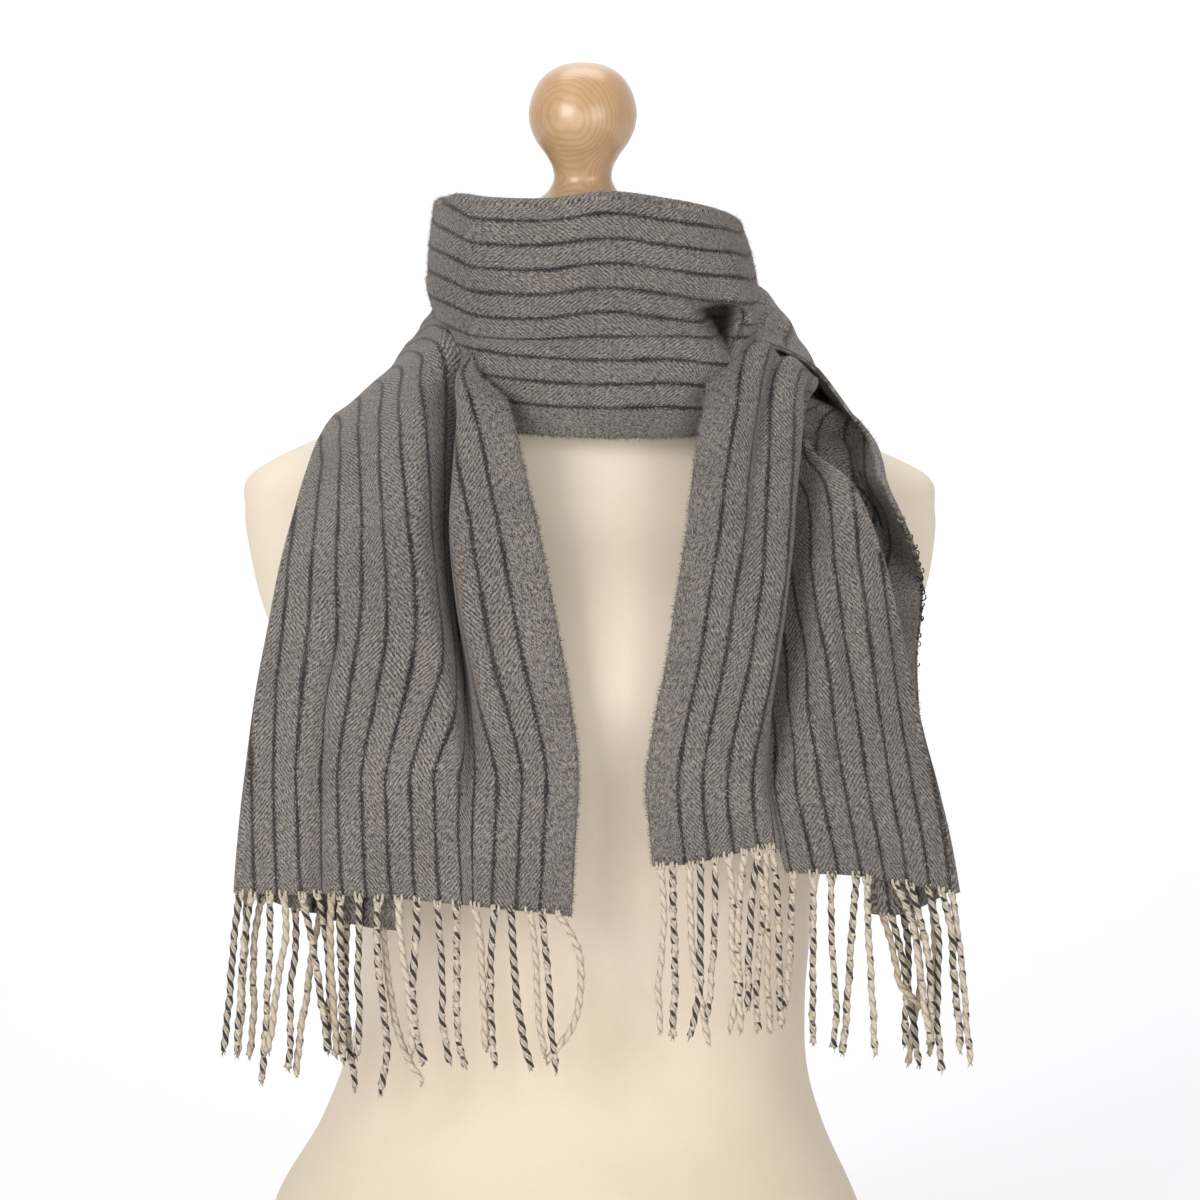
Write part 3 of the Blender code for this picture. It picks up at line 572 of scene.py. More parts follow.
def cloth_grid(sections, side, creases, folds, seed, dents=(), third_ply=False, first_travel=None,
               last_travel=None, waves=1.0, hem=(Hem(0.0, 0.0),)):
    """The middle surface of one stretch, and its places across and along the woven cloth."""
    table = np.array([[*s.inner, *s.middle, *s.outer, s.back, s.sag, *s.edge] for s in sections],
                     dtype=float)
    keys = run_lengths(table[:, 3:6])
    places = np.linspace(0.0, keys[-1], int(keys[-1] / STATION_STEP) + 1)
    rows = curve_through(keys, table, places)
    travel = unit(np.gradient(rows[:, 3:6], places, axis=0))
    for end, inward, towards in ((0, 1.0, first_travel), (-1, -1.0, last_travel)):
        if towards is not None:
            ease = np.exp(-np.abs(places - places[end]) / JOIN_EASE)[:, None]
            travel = unit(travel * (1.0 - ease) + unit(np.array(towards)) * ease)
            rows[end, 0:9] += inward * np.tile(travel[end], 3) * JOIN_GAP / 2
    stations = [fold.station for fold in folds]
    fold_rows = np.array([[np.interp(place / keys[-1], stations, values)
                           for values in list(zip(*folds))[1:]] for place in places])
    made = [section_points(rows[i], travel[i], side, creases, dents, fold_rows[i], places[i] / keys[-1],
                           keys[-1], third_ply, seed, waves, hem) for i in range(len(places))]
    grid = np.array([m[0] for m in made])
    along = run_lengths(grid)[:, :FRONT_POINTS].mean(axis=1)
    across = np.array([m[1] for m in made])
    woven = np.stack([across, np.repeat(along[:, None], across.shape[1], axis=1)], axis=2)
    return grid, woven


def keep_off_form(grid, tree):
    """Push points of the cloth out of the form, where a deep crease would touch it."""
    flat = grid.reshape(-1, 3)
    for number, point in enumerate(flat):
        near, normal, _, _ = tree.find_nearest(Vector(point * MM), FORM_SEARCH * MM)
        if near is None:
            continue
        height = (Vector(point * MM) - near).dot(normal) / MM
        if height < FORM_CLEARANCE:
            flat[number] = np.array(near) / MM + np.array(normal) * FORM_CLEARANCE
    return flat.reshape(grid.shape)


def surface_normals(grid):
    """Directions square to a grid of points."""
    return unit(np.cross(np.gradient(grid, axis=1), np.gradient(grid, axis=0)))


def cloth_wall(name, grid, woven, material):
    """A closed wall of cloth round its middle surface."""
    rows, columns = grid.shape[:2]
    normals = surface_normals(grid)
    points = np.concatenate([(grid + normals * CLOTH / 2).reshape(-1, 3),
                             (grid - normals * CLOTH / 2).reshape(-1, 3)])
    count = rows * columns
    index = np.arange(count).reshape(rows, columns)
    quads = np.stack([index[:-1, :-1], index[:-1, 1:], index[1:, 1:], index[1:, :-1]], axis=-1)
    faces = quads.reshape(-1, 4).tolist() + (quads.reshape(-1, 4)[:, ::-1] + count).tolist()
    rim = list(index[0]) + list(index[1:, -1]) + list(index[-1, -2::-1]) + list(index[-2:0:-1, 0])
    for start, end in zip(rim, rim[1:] + rim[:1]):
        faces.append([int(start), int(start) + count, int(end) + count, int(end)])
    uvs = np.tile(woven.reshape(-1, 2) * MM, (2, 1))
    thing = new_object(name, points, faces, material, {"weave": uvs})
    face_outwards(thing)
    return thing


# ---------------------------------------------------------------- materials

# colours as linear red, green and blue
PALE_WOOLS = [(0.352, 0.304, 0.263, 1.0), (0.300, 0.272, 0.251, 1.0)]
DEEP_WOOLS = [(0.046, 0.038, 0.033, 1.0), (0.038, 0.035, 0.034, 1.0)]
STRIPE_WOOL = (0.020, 0.018, 0.018, 1.0)
CREAM_YARNS = [(0.56, 0.485, 0.385, 1.0), (0.44, 0.36, 0.26, 1.0)]
DARK_YARN = (0.020, 0.019, 0.022, 1.0)
JERSEYS = [(0.750, 0.645, 0.512, 1.0), (0.785, 0.690, 0.562, 1.0)]
JERSEY_SHADE = (0.56, 0.465, 0.35, 1.0)
BEECHES = [(0.60, 0.40, 0.233, 1.0), (0.525, 0.330, 0.177, 1.0)]
BEECH_RING = (0.40, 0.215, 0.095, 1.0)
BEECH_FLECK = (0.33, 0.17, 0.075, 1.0)
# painted shade: the cover is painted a little darker towards the hips, between these heights
HIP_PAINTED_SHADE = (0.83, 0.82, 0.79, 1.0)
HIP_SHADE_LOW = 110.0
HIP_SHADE_HIGH = 340.0


class Nodes:
    """Short calls for making one material's nodes."""

    def __init__(self, name, sockets):
        self.material = bpy.data.materials.new(name)
        self.material.use_nodes = True
        self.tree = self.material.node_tree
        self.shader = self.tree.nodes["Principled BSDF"]
        for socket, value in sockets.items():
            self.shader.inputs[socket].default_value = value

    def put(self, socket, value):
        if isinstance(value, bpy.types.NodeSocket):
            self.tree.links.new(value, socket)
        else:
            socket.default_value = value

    def fill(self, node, *values):
        for socket, value in zip(node.inputs, values):
            self.put(socket, value)
        return node.outputs[0]

    def math(self, operation, *values):
        node = self.tree.nodes.new("ShaderNodeMath")
        node.operation = operation
        return self.fill(node, *values)

    def times(self, first, second):
        return self.math("MULTIPLY", first, second)

    def fit(self, value, factor, offset):
        """The value times the factor, plus the offset."""
        return self.math("MULTIPLY_ADD", value, factor, offset)

    def ramp(self, value, low, high, start=0.0, end=1.0):
        node = self.tree.nodes.new("ShaderNodeMapRange")
        node.interpolation_type = "SMOOTHSTEP"
        return self.fill(node, value, low, high, start, end)

    def mix(self, share, first, second, blend="MIX"):
        node = self.tree.nodes.new("ShaderNodeMix")
        node.data_type = "RGBA"
        node.blend_type = blend
        for number, value in ((0, share), (6, first), (7, second)):
            self.put(node.inputs[number], value)
        return node.outputs[2]

    def vector(self, x, y, z=0.0):
        return self.fill(self.tree.nodes.new("ShaderNodeCombineXYZ"), x, y, z)

    def shaded(self, colour, shade):
        """The colour times a grey."""
        return self.mix(1.0, colour, self.vector(shade, shade, shade), "MULTIPLY")

    def noise(self, values, factors=(1.0, 1.0, 1.0), scale=1.0, detail=2.0, roughness=0.5):
        """Noise over three values, each times its factor."""
        node = self.tree.nodes.new("ShaderNodeTexNoise")
        spot = self.vector(*[self.times(value, factor) for value, factor in zip(values, factors)])
        self.put(node.inputs["Vector"], spot)
        for socket, value in (("Scale", scale), ("Detail", detail), ("Roughness", roughness)):
            node.inputs[socket].default_value = value
        return node.outputs["Fac"]

    def split(self, vector):
        node = self.tree.nodes.new("ShaderNodeSeparateXYZ")
        self.tree.links.new(vector, node.inputs[0])
        return node.outputs

    def uv(self, name):
        node = self.tree.nodes.new("ShaderNodeUVMap")
        node.uv_map = name
        return self.split(node.outputs[0])[:2]

    def place(self):
        node = self.tree.nodes.new("ShaderNodeTexCoord")
        return [self.times(part, MM_PER_M) for part in self.split(node.outputs["Object"])]

    def finish(self, colour, height=None, distance=0.0, strength=1.0):
        self.put(self.shader.inputs["Base Color"], colour)
        if height is not None:
            bump = self.tree.nodes.new("ShaderNodeBump")
            bump.inputs["Distance"].default_value = distance
            bump.inputs["Strength"].default_value = strength
            self.tree.links.new(height, bump.inputs["Height"])
            self.tree.links.new(bump.outputs[0], self.shader.inputs["Normal"])
        return self.material


def cashmere_material(name, lift):
    """Brushed herringbone twill in grey-brown melange, with fine charcoal stripes. lift is how
    light it is beside the plain weave; above 1, the lighter colour is a painted sheen."""
    n = Nodes(name, {"Roughness": 0.95, "Specular IOR Level": 0.12, "Sheen Weight": 0.22,
                     "Sheen Roughness": 0.45, "Sheen Tint": (1.0, 0.97, 0.94, 1.0)})
    u, v = [n.times(place, MM_PER_M) for place in n.uv("weave")]

    def spots(across, along, across_size, along_size, seed, detail=2.0):
        """Noise with spots of a given size in two directions, stretched to run from 0 to 1."""
        place = (n.math("DIVIDE", across, across_size), n.math("DIVIDE", along, along_size), seed)
        return n.ramp(n.noise(place, detail=detail, roughness=0.6), 0.30, 0.70)

    # the twill lines turn back at each stripe, and waver a little
    from_first = n.math("SUBTRACT", u, EDGE_BAND)
    swing = n.math("PINGPONG", from_first, STRIPE_PITCH)
    column = n.math("FLOOR", n.math("DIVIDE", from_first, STRIPE_PITCH))
    wander = n.noise((u, v, 0.0), (0.07, 0.07, 1.0))
    jitter = n.noise((u, v, 3.0), (0.45, 0.45, 1.0))
    phase = n.fit(swing, TWILL_SLOPE, v)
    phase = n.fit(jitter, 1.6, phase)
    phase = n.fit(wander, 5.0, phase)
    phase = n.math("DIVIDE", phase, TWILL_PERIOD)
    twill = n.math("SINE", n.times(phase, FULL_TURN))
    # the edge bands are plain, and the nap hides the twill in patches
    from_edge = n.math("PINGPONG", u, SCARF_WIDTH / 2)
    body = n.ramp(from_edge, EDGE_BAND - 3.0, EDGE_BAND - 0.5)
    clear = n.fit(spots(u, v, 22.0, 30.0, 5.0), 0.6, 0.4)
    twill = n.times(n.times(twill, clear), body)
    # single pale and dark fibres, along the twill, along the cloth, aslant and as specks
    run = n.fit(v, -TWILL_SLOPE, swing)
    floats = spots(n.times(phase, TWILL_PERIOD), run, 1.1, 5.0, 1.0)
    hairs = spots(u, v, 0.55, 2.6, 7.0, 3.0)
    slant = spots(n.fit(v, 0.45, u), v, 0.6, 2.2, 11.0, 3.0)
    specks = spots(u, v, 0.65, 0.8, 13.0, 3.0)
    pale = n.fit(twill, 0.21, 0.48)
    for part, weight in ((floats, 0.44), (hairs, 0.34), (slant, 0.32), (specks, 0.32)):
        pale = n.fit(n.math("SUBTRACT", part, 0.5), weight, pale)
    warmth = spots(u, v, 1.6, 3.2, 17.0)
    ground = n.mix(n.ramp(pale, 0.05, 1.0), n.mix(warmth, *DEEP_WOOLS), n.mix(warmth, *PALE_WOOLS))
    # the stripes sway and have ragged, broken edges
    sway = n.fit(n.noise((column, v, 9.0), (1.0, 0.035, 1.0)), 2.4, -1.2)
    from_stripe = n.math("PINGPONG", n.math("ADD", from_first, sway), STRIPE_PITCH / 2)
    ragged = n.fit(spots(u, v, 0.8, 1.6, 19.0, 3.0), 1.9, -0.95)
    dark = n.ramp(n.math("ADD", from_stripe, ragged), 0.82 * STRIPE_WIDTH, 0.12 * STRIPE_WIDTH)
    dark = n.times(dark, n.ramp(from_edge, EDGE_BAND - 4.0, EDGE_BAND - 2.5))
    dark = n.times(dark, n.fit(spots(u, v, 9.0, 26.0, 23.0), 0.18, 0.82))
    colour = n.mix(dark, ground, STRIPE_WOOL)
    patches = n.noise((u, v, 0.0), (0.02, 0.02, 1.0))
    # patches of tone that differ at random; lift above 1 paints the whole colour lighter, as a painted
    # sheen
    colour = n.shaded(colour, n.ramp(patches, 0.3, 0.7, 0.90 * lift, 1.08 * lift))
    return n.finish(colour, pale, 0.0005, 0.7)


def cord_material():
    """Two-ply cream yarn with broken charcoal flecks along both plies, and painted shade in the groove
    between them.
    """
    n = Nodes("fringe_cords", {"Roughness": 0.9, "Specular IOR Level": 0.15, "Sheen Weight": 0.12,
                               "Sheen Roughness": 0.5, "Sheen Tint": (1.0, 0.98, 0.95, 1.0)})
    turn, along = n.uv("ply")
    share, tone = n.uv("strand")
    along = n.times(along, MM_PER_M)
    seed = n.times(tone, 57.0)
    swing = n.math("COSINE", n.times(turn, 2.0 * FULL_TURN))
    ply_number = n.math("ROUND", n.times(turn, 2.0))
    fleck = n.noise((ply_number, along, seed), (1.0, 0.21, 1.0), detail=1.0)
    fibre = n.noise((turn, along, seed), (9.0, 0.9, 1.0), detail=3.0, roughness=0.7)
    ply = n.ramp(n.math("ADD", swing, n.fit(fibre, 1.6, -0.8)), -0.15, 0.35)
    dark = n.times(ply, n.ramp(n.math("ADD", fleck, share), 0.93, 1.03))
    # painted shade: the groove between the two plies is painted darker
    groove_painted_shade = n.ramp(swing, -1.0, -0.4, 0.62, 1.0)
    shade = n.times(groove_painted_shade, n.ramp(fibre, 0.25, 0.75, 0.78, 1.15))
    colour = n.mix(n.times(dark, 0.96), n.shaded(n.mix(tone, *CREAM_YARNS), shade), DARK_YARN)
    return n.finish(colour, fibre, 0.0005, 0.8)


def form_material():
    """Cream stretch cover with a fine matt knit."""
    n = Nodes("form_jersey", {"Roughness": 0.85, "Specular IOR Level": 0.25, "Sheen Weight": 0.08,
                              "Sheen Roughness": 0.5, "Sheen Tint": (1.0, 1.0, 1.0, 1.0)})
    place = n.place()
    knit = n.noise(place, (1.4, 1.4, 0.9), roughness=0.6)
    cloud = n.noise(place, scale=0.012, detail=3.0)
    colour = n.mix(n.ramp(cloud, 0.35, 0.65), *JERSEYS)
    colour = n.mix(n.ramp(knit, 0.2, 0.8, 0.0, 0.18), colour, JERSEY_SHADE)
    # painted shade: darker below the lower height, easing to none at the upper
    hip_painted_shade = n.ramp(place[2], HIP_SHADE_LOW, HIP_SHADE_HIGH)
    colour = n.mix(hip_painted_shade, n.mix(1.0, colour, HIP_PAINTED_SHADE, "MULTIPLY"), colour)
    return n.finish(colour, knit, 0.0002, 0.5)


def beech_material():
    """Turned beech: contour rings round the front, short flecks, satin varnish."""
    n = Nodes("beech_turned", {"Roughness": 0.32, "Coat Weight": 0.25, "Coat Roughness": 0.18})
    place = n.place()
    layers = n.fit(place[0], -0.35, n.times(place[1], -0.93))
    bend = n.noise(place, (1.0, 1.0, 0.35), 0.05, 3.0)
    layers = n.fit(bend, 7.0, layers)
    rings = n.math("POWER", n.fit(n.math("SINE", n.times(layers, 3.1)), 0.5, 0.5), 2.0)
    pores = n.noise(place, (2.2, 2.2, 0.30))
    wide = n.noise(place, (1.0, 1.0, 0.5), 0.04)
    colour = n.mix(n.ramp(wide, 0.3, 0.7), *BEECHES)
    colour = n.mix(n.times(rings, 0.38), colour, BEECH_RING)
    colour = n.mix(n.times(n.ramp(pores, 0.62, 0.70), 0.45), colour, BEECH_FLECK)
    return n.finish(colour, pores, 0.0001, 0.3)


# ---------------------------------------------------------------- pieces

def torso_grid():
    """Rings of points up the form, finely spaced."""
    table = np.array(TORSO, dtype=float)
    heights = np.linspace(0.0, NECK_TOP, TORSO_LEVELS)
    rings = curve_through(table[:, 0], table, heights)
    angles = np.linspace(0.0, FULL_TURN, TORSO_SIDES, endpoint=False)
    cosine, sine = np.cos(angles), np.sin(angles)
    grid = []
    for ring, height in zip(rings, heights):
        _, half_width, front, back, centre_x, power = ring
        x = half_width * np.sign(cosine) * np.abs(cosine) ** (2.0 / power)
        y = np.where(sine > 0.0, back, front) * np.sign(sine) * np.abs(sine) ** (2.0 / power)
        reach = ((np.abs(x) - BUST_SPREAD) / BUST_RADIUS) ** 2
        reach += ((height - BUST_HEIGHT) / BUST_RADIUS) ** 2
        y = y - np.where(sine < 0.0, BUST_RISE * np.exp(-reach) * np.abs(sine), 0.0)
        grid.append(np.stack([x + centre_x, y, np.full_like(x, height)], axis=1))
    return np.array(grid)


def stacked(name, grid, material):
    """A closed solid through level rings, with flat ends."""
    levels, sides = grid.shape[:2]
    index = np.arange(levels * sides).reshape(levels, sides)
    faces = [index[0].tolist(), index[-1].tolist()]
    faces += ring_faces(index)
    thing = new_object(name, grid.reshape(-1, 3), faces, material)
    face_outwards(thing)
    thing.data.set_sharp_from_angle(angle=math.radians(45))
    return thing


def knob_grid():
    """Rings of points up the knob."""
    table = np.array(KNOB, dtype=float)
    keys = run_lengths(table)
    profile = curve_through(keys, table, np.linspace(0.0, keys[-1], KNOB_LEVELS))
    angles = np.linspace(0.0, FULL_TURN, KNOB_SIDES, endpoint=False)
    return np.array([np.stack([radius * np.cos(angles), radius * np.sin(angles) + KNOB_DEPTH_FROM_AXIS,
                               np.full_like(angles, NECK_TOP + SEAM + rise)], axis=1)
                     for radius, rise in profile])


def ring_faces(index):
    """The four-sided faces between rings of numbered points."""
    turned = np.roll(index, -1, axis=1)
    quads = np.stack([index[:-1], turned[:-1], turned[1:], index[1:]], axis=-1)
    return quads.reshape(-1, 4).tolist()


def tube(line, radii, sides, first, twist=None, lobes=0.0):
    """Rings round a line, as points, faces that start at the number first, and corner places:
    the turn round the twisted plies and the length along the line."""
    travel = unit(np.gradient(line, axis=0))
    aside = unit(np.cross(travel, np.array([0.0, 1.0, 0.0])))
    up = np.cross(aside, travel)
    count = len(line)
    angles = np.linspace(0.0, FULL_TURN, sides, endpoint=False)
    turn = np.zeros(count) if twist is None else twist
    reach = radii[:, None] * (1.0 + lobes * np.cos(2.0 * (angles[None, :] - turn[:, None])))
    points = (line[:, None, :] + aside[:, None, :] * (reach * np.cos(angles))[:, :, None]
              + up[:, None, :] * (reach * np.sin(angles))[:, :, None])
    index = np.arange(count * sides).reshape(count, sides) + first
    faces = ring_faces(index) + [index[0].tolist(), index[-1][::-1].tolist()]
    phase = (np.linspace(0.0, FULL_TURN, sides + 1)[None, :] - turn[:, None]) / FULL_TURN
    length = np.repeat(run_lengths(line)[:, None] * MM, sides + 1, axis=1)
    places = np.stack([phase, length], axis=-1)
    corners = np.stack([places[:-1, :-1], places[:-1, 1:], places[1:, 1:], places[1:, :-1]], axis=2)
    ends = np.concatenate([places[0, :-1], places[-1, :-1][::-1]])
    return points.reshape(-1, 3), faces, np.concatenate([corners.reshape(-1, 2), ends])


def make_fringe(name, hem, plies, strands, material, seed):
    """Twisted cords that hang from the hem, each with a root of two or three yarns."""
    luck = np.random.default_rng(seed)
    points, faces, ply_places, strand_places = [], [], [], []
    count = 0

    def add(line, radii, sides, share, tone, twist=None, lobes=0.0):
        nonlocal count
        made, quads, corners = tube(line, radii, sides, count, twist, lobes)
        points.append(made)
        faces.extend(quads)
        ply_places.append(corners)
        strand_places.append(np.tile([share, tone], (len(corners), 1)))
        count += len(made)

    def on_hem(ply, x):
        run = hem[plies[ply][0]:plies[ply][1]]
        order = np.argsort(run[:, 0])
        return np.array([np.interp(x, run[order, 0], run[order, axis]) for axis in range(3)])

    for strand in strands:
        root = on_hem(strand.ply, strand.x)
        top = root + np.array([0.0, -1.6 if strand.ply == 0 else 0.0, -0.5])
        part = np.linspace(0.0, 1.0, CORD_RINGS)
        aside = curve_through(np.linspace(0.0, 1.0, 5), [0.0, *strand.aside], part)
        shiver = 0.35 * np.sin(part * 23.0 + luck.uniform(0.0, 6.0)) * part
        depth = luck.uniform(-3.0, 1.0) * part
        line = top + np.stack([aside + shiver, depth, -(strand.fall - 2.0) * part], axis=1)
        tone = min(strand.tone + luck.uniform(0.0, 0.05), 1.0)
        twist = FULL_TURN * run_lengths(line) / CORD_TURN + luck.uniform(0.0, 6.0)
        thick = CORD_RADIUS * luck.uniform(0.92, 1.08)
        flare = luck.uniform(-0.45, 0.25)
        bumps = 0.05 * np.sin(part * 31.0 + luck.uniform(0, 6))
        radii = thick * (1.0 + flare * smooth((part - 0.95) / 0.05) + bumps)
        add(line, radii, CORD_SIDES, strand.dark, tone, twist, CORD_LOBES)
        for reach in ROOT_YARNS:
            shift = reach + luck.uniform(-0.6, 0.6)
            lift = np.array([0.0, -1.7 if strand.ply == 0 else 0.0, luck.uniform(0.6, 3.2)])
            start = on_hem(strand.ply, strand.x + shift) + lift
            bits = np.linspace(0.0, 1.0, 8)
            curve = start + (line[3] - start) * bits[:, None]
            curve[:, 0] += (start[0] - line[3][0]) * 0.35 * np.sin(math.pi * bits)
            curve[:, 1] -= 0.8 * np.sin(math.pi * bits)
            spin = FULL_TURN * run_lengths(curve) / CORD_TURN * 2.0
            add(curve, np.linspace(0.7, 1.2, 8), 6, strand.dark * luck.uniform(0.3, 1.1), tone, spin)
        for _ in range(TIP_FIBRES):
            begin = line[-1 - int(luck.integers(0, 2))]
            drop = luck.uniform(1.5, 3.6)
            tip = begin + np.array([luck.uniform(-1.6, 1.6), luck.uniform(-1.2, 1.2), -drop])
            add(np.linspace(begin, tip, 3), np.array([0.5, 0.3, 0.12]), 3, strand.dark, tone)
    places = {"ply": np.concatenate(ply_places), "strand": np.concatenate(strand_places)}
    return new_object(name, np.concatenate(points), faces, material, places, at_corners=True)


def blades(name, roots, outwards, along, lengths, lifts, slants, widths, woven, material):
    """Thin tapered hairs that start at the roots and lie along the cloth, each of three triangles."""
    side = unit(np.cross(outwards, along))
    lie = unit(along * np.cos(slants)[:, None] + side * np.sin(slants)[:, None])
    aside = np.cross(outwards, lie)
    first = roots + lengths[:, None] * (0.5 * lie + 0.35 * lifts[:, None] * outwards)
    last = roots + lengths[:, None] * (lie + lifts[:, None] * outwards)
    half = aside * widths[:, None] / 2
    points = np.stack([roots - half, roots + half, first - half * 0.8, first + half * 0.8, last], axis=1)
    base = np.arange(len(roots))[:, None] * 5
    quads = (base + np.array([0, 1, 3, 2])).tolist()
    tips = (base + np.array([2, 3, 4])).tolist()
    places = {"weave": np.repeat(woven, 5, axis=0) * MM}
    return new_object(name, points.reshape(-1, 3), quads + tips, material, places)


def make_nap(name, grid, woven, shown, count, material, seed):
    """Brushed hairs spread evenly over the plies that show, and frayed ends along both selvedges."""
    luck = np.random.default_rng(seed)
    normals = surface_normals(grid)
    down = unit(-np.gradient(grid, axis=0))
    size = (np.linalg.norm(np.diff(grid, axis=0), axis=2)[:, :-1]
            * np.linalg.norm(np.diff(grid, axis=1), axis=2)[:-1])
    hidden = np.ones(size.shape[1], dtype=bool)
    for start, end in shown:
        hidden[start:end - 1] = False
    size[:, hidden] = 0.0
    picks = luck.choice(size.size, count, p=size.ravel() / size.sum())
    row, column = np.unravel_index(picks, size.shape)
    rise, over = luck.random((count, 1)), luck.random((count, 1))

    def between(values):
        near = values[row, column] * (1.0 - over) + values[row, column + 1] * over
        far = values[row + 1, column] * (1.0 - over) + values[row + 1, column + 1] * over
        return near * (1.0 - rise) + far * rise

    out = unit(between(normals))
    parts = [(between(grid) + out * (CLOTH / 2 - HAIR_ROOT), out, unit(between(down)),
              luck.uniform(*HAIR_LENGTHS, count), luck.uniform(*HAIR_LIFT, count),
              luck.normal(0.0, HAIR_SLANT, count), np.full(count, HAIR_WIDTH), between(woven))]
    last = grid.shape[0] - 1.001
    for column, near in ((0, 1), (grid.shape[1] - 1, grid.shape[1] - 2)):
        edge_count = int(run_lengths(grid[:, column])[-1] * FRAYS_PER_MM)
        place = luck.uniform(0.0, last, edge_count)
        row = place.astype(int)
        share = (place - row)[:, None]
        points = grid[row, column] * (1.0 - share) + grid[row + 1, column] * share
        out = unit(normals[row, column])
        away = unit(grid[row, column] - grid[row, near] + 1e-6)
        shift = luck.uniform(-CLOTH / 2, CLOTH / 2, edge_count)[:, None]
        parts.append((points + out * shift, out, away, luck.uniform(*FRAY_LENGTHS, edge_count),
                      luck.uniform(*FRAY_LIFT, edge_count), luck.normal(0.0, FRAY_SLANT, edge_count),
                      np.full(edge_count, FRAY_WIDTH), woven[row, column]))
    return blades(name, *[np.concatenate(group) for group in zip(*parts)], material)


def make_loops(name, grid, woven, material, seed):
    """Curled loops of yarn that stand out from the last selvedge."""
    luck = np.random.default_rng(seed)
    points, faces, places = [], [], []
    count = 0
    for share in np.linspace(*LOOSE_STATIONS, LOOSE_COUNT):
        row = int(share * (grid.shape[0] - 1) + luck.uniform(-0.8, 0.8))
        away = unit(np.array([1.0, -0.2, luck.uniform(-0.4, 0.3)]))
        down = unit(np.array([0.0, luck.uniform(-0.3, 0.3), -1.0]))
        half = luck.uniform(*LOOSE_SIZES) / 2
        swing = np.linspace(0.0, luck.uniform(3.4, 5.4), 10)[:, None]
        bow = (1.0 - np.cos(swing)) * away + 0.8 * np.sin(swing) * down
        line = grid[row, -1] - away * LOOSE_ROOT + half * bow
        made, quads, corners = tube(line, np.full(len(line), LOOSE_RADIUS), 5, count)
        points.append(made)
        faces.extend(quads)
        # two in three loops have the colour of the stripe
        yarn = luck.choice([EDGE_BAND, EDGE_BAND, EDGE_BAND / 4])
        places.append(np.tile((woven[row, -1] - np.array([yarn, 0.0])) * MM, (len(corners), 1)))
        count += len(made)
    places = {"weave": np.concatenate(places)}
    return new_object(name, np.concatenate(points), faces, material, places, at_corners=True)


def dress(piece, slot, *nodes):
    """Let a piece ride on the part, and stand for its nodes."""
    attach(piece, "root")
    if nodes:
        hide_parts(*nodes)
    return piece


# ---------------------------------------------------------------- camera, light and stage

CAMERA_DISTANCE = 2.8      # metres
CAMERA_ELEVATION = math.radians(8.0)
CAMERA_TARGET = Vector((0.0098, 0.0, 0.4666))
VIEW_WIDTH = 0.6912        # metres across the picture at the target

Lamp = namedtuple("Lamp", "name place target size power")   # metres and watts
LAMPS = [
    Lamp("key", (-1.65, -2.45, 1.25), (0.0, 0.0, 0.45), 1.5, 60.0),
    Lamp("fill", (1.55, -2.5, 0.90), (0.0, 0.0, 0.45), 1.5, 32.0),
    Lamp("front", (0.0, -3.1, 0.50), (0.0, 0.0, 0.42), 1.2, 13.0),
    Lamp("back", (0.0, 0.9, 2.7), (0.0, 2.0, 0.5), 2.0, 50.0),
]
WORLD_LIGHT = 0.22
STAGE_GLOW = 0.27
STAGE_FRONT = -4000.0
STAGE_BEND = 1200.0        # how far behind the part the floor starts to curve up
STAGE_RADIUS = 900.0
STAGE_TOP = 4200.0
STAGE_HALF_WIDTH = 5000.0
STAGE_DROP = 0.5
STAGE_STEPS = 12


def add_camera():
    """The photograph's view, from straight in front and a little above."""
    data = bpy.data.cameras.new("camera")
    data.sensor_width = 36.0
    data.lens = data.sensor_width * CAMERA_DISTANCE / VIEW_WIDTH
    camera = bpy.data.objects.new("camera", data)
    away = Vector((0.0, -math.cos(CAMERA_ELEVATION), math.sin(CAMERA_ELEVATION)))
    camera.location = CAMERA_TARGET + away * CAMERA_DISTANCE
    camera.rotation_euler = (math.pi / 2 - CAMERA_ELEVATION, 0.0, 0.0)
    bpy.context.scene.collection.objects.link(camera)
    bpy.context.scene.camera = camera


def add_light(lamp):
    """A large soft light."""
    data = bpy.data.lights.new(lamp.name, "AREA")
    data.shape = "SQUARE"
    data.size = lamp.size
    data.energy = lamp.power
    light = bpy.data.objects.new(lamp.name, data)
    light.location = lamp.place
    towards = Vector(lamp.target) - Vector(lamp.place)
    light.rotation_euler = towards.to_track_quat("-Z", "Y").to_euler()
    bpy.context.scene.collection.objects.link(light)


def add_stage():
    """A pale floor that curves up into a backdrop."""
    n = Nodes("stage_white", {"Roughness": 0.9, "Specular IOR Level": 0.0,
                              "Emission Color": (0.985, 0.985, 1.0, 1.0), "Emission Strength": STAGE_GLOW})
    material = n.finish((0.62, 0.617, 0.628, 1.0))
    profile = [(STAGE_FRONT, 0.0), (STAGE_BEND, 0.0)]
    for step in range(1, STAGE_STEPS + 1):
        swing = math.pi / 2 * step / STAGE_STEPS
        profile.append((STAGE_BEND + STAGE_RADIUS * math.sin(swing),
                        STAGE_RADIUS * (1.0 - math.cos(swing))))
    profile.append((STAGE_BEND + STAGE_RADIUS, STAGE_TOP))
    points = [(x, y, z - STAGE_DROP) for y, z in profile for x in (-STAGE_HALF_WIDTH, STAGE_HALF_WIDTH)]
    faces = [[2 * i, 2 * i + 1, 2 * i + 3, 2 * i + 2] for i in range(len(profile) - 1)]
    new_object("stage", points, faces, material)


def set_world():
    """Even white light from all round."""
    world = bpy.data.worlds.new("studio")
    world.use_nodes = True
    shade = world.node_tree.nodes["Background"]
    shade.inputs[0].default_value = (1.0, 0.99, 0.985, 1.0)
    shade.inputs[1].default_value = WORLD_LIGHT
    bpy.context.scene.world = world


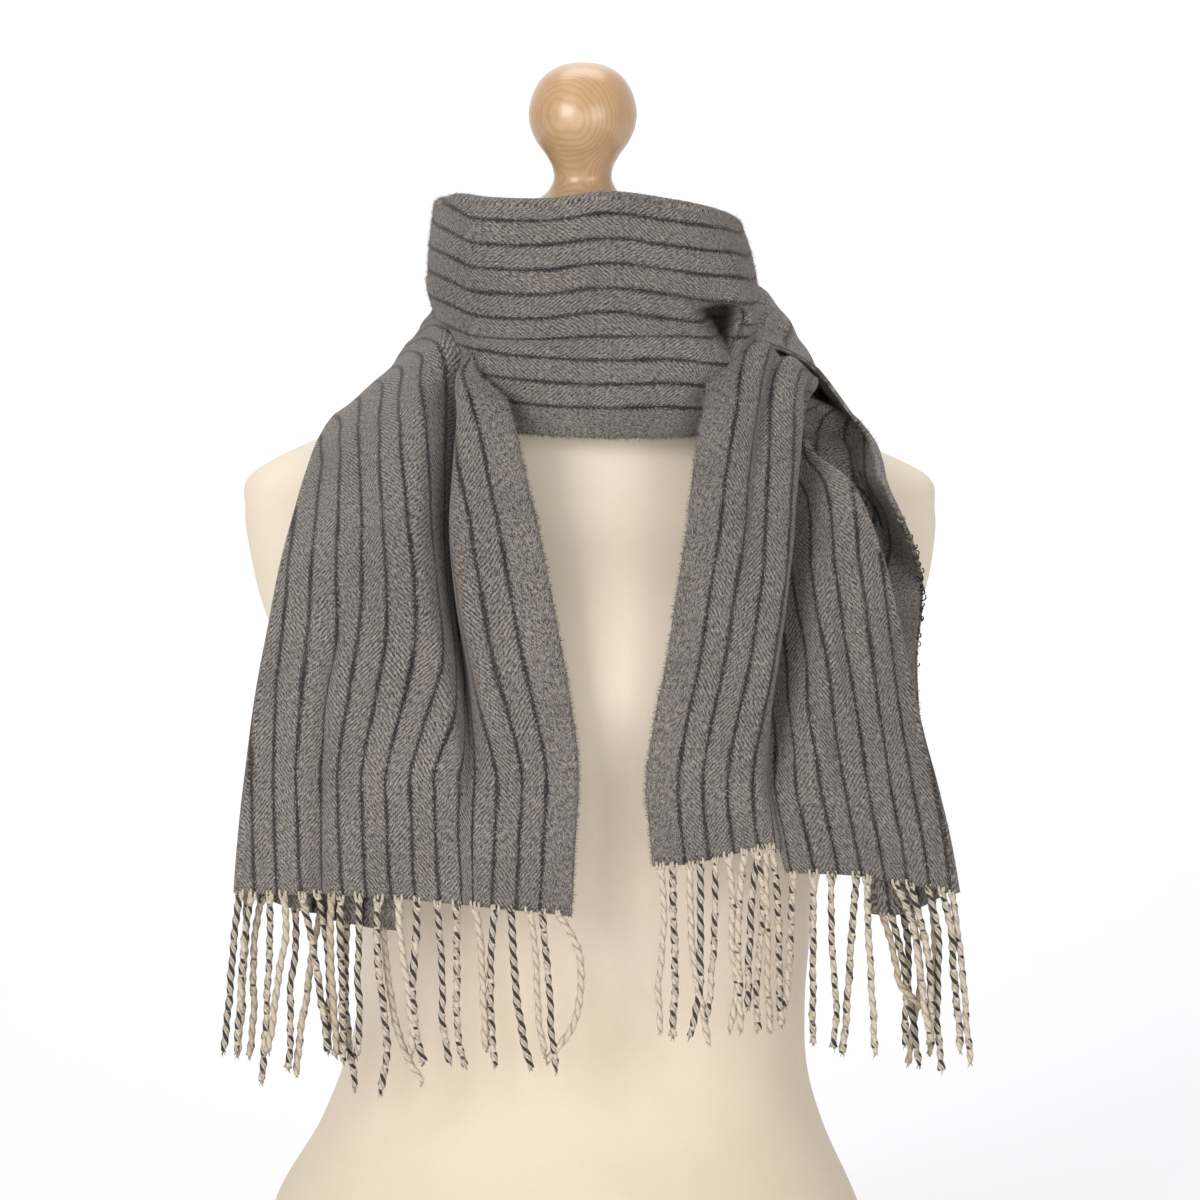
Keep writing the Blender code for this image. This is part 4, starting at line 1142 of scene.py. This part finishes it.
Stretch = namedtuple("Stretch", "name node fringe_node strands seed hairs")
STRETCHES = [
    Stretch("scarf_right", "tail_right", "fringe_right", RIGHT_STRANDS, 3, 50000),
    Stretch("scarf_left", "tail_left", "fringe_left", LEFT_STRANDS, 4, 50000),
    Stretch("scarf_band", "neck_band", None, None, 6, 34000),
]


def lay_cloth():
    """The middle surface and the woven places of each stretch, in the order of STRETCHES."""
    right_end = [-part for part in LEFT_JOIN]
    return [
        cloth_grid(RIGHT_TAIL, 1.0, RIGHT_CREASES, RIGHT_FOLDS, 2.0, third_ply=True,
                   last_travel=right_end, hem=RIGHT_HEM),
        cloth_grid(LEFT_TAIL, -1.0, LEFT_CREASES, LEFT_FOLDS, 5.0, last_travel=BACK_JOIN),
        cloth_grid(NECK_BAND, 1.0, BAND_CREASES, BAND_FOLDS, 8.0, dents=BAND_DENTS,
                   first_travel=BACK_JOIN, last_travel=LEFT_JOIN, waves=0.15),
    ]


def build():
    """Make the dressed part."""
    cashmere = cashmere_material("cashmere_weave", 1.0)
    # the nap hairs take the weave painted a little lighter, as a painted sheen
    sheen_painted_nap = cashmere_material("cashmere_nap", 1.05)
    cords = cord_material()
    torso = dress(stacked("torso_covered", torso_grid(), form_material()), "form_cover", "form_torso")
    dress(stacked("knob_turned", knob_grid(), beech_material()), "beech", "form_knob")
    tree = BVHTree.FromObject(torso, bpy.context.evaluated_depsgraph_get())
    front_end = FRONT_POINTS + TURN_POINTS
    second_end = front_end + BACK_POINTS
    for stretch, (grid, woven) in zip(STRETCHES, lay_cloth()):
        name, seed = stretch.name, stretch.seed
        columns = grid.shape[1]
        grid = keep_off_form(grid, tree)
        cloth = dress(cloth_wall(name, grid, woven, cashmere), "cashmere", stretch.node)
        has_third = stretch.node == "tail_right"
        shown = [(0, front_end), (second_end, columns)] if has_third else [(0, front_end)]
        nap = make_nap(name + "_nap", grid, woven, shown, stretch.hairs, sheen_painted_nap, seed)
        going = [dress(nap, "cashmere")]
        if has_third:
            going.append(dress(make_loops(name + "_loops", grid, woven, cashmere, seed), "cashmere"))
        if stretch.fringe_node:
            plies = [(0, front_end), (front_end, second_end), (second_end, columns)]
            fringe = make_fringe(name + "_fringe", grid[0], plies, stretch.strands, cords, seed)
            going.append(dress(fringe, "fringe_yarn", stretch.fringe_node))


bpy.context.scene.view_settings.view_transform = "Standard"
add_camera()
set_world()
add_stage()
for lamp in LAMPS:
    add_light(lamp)
build()
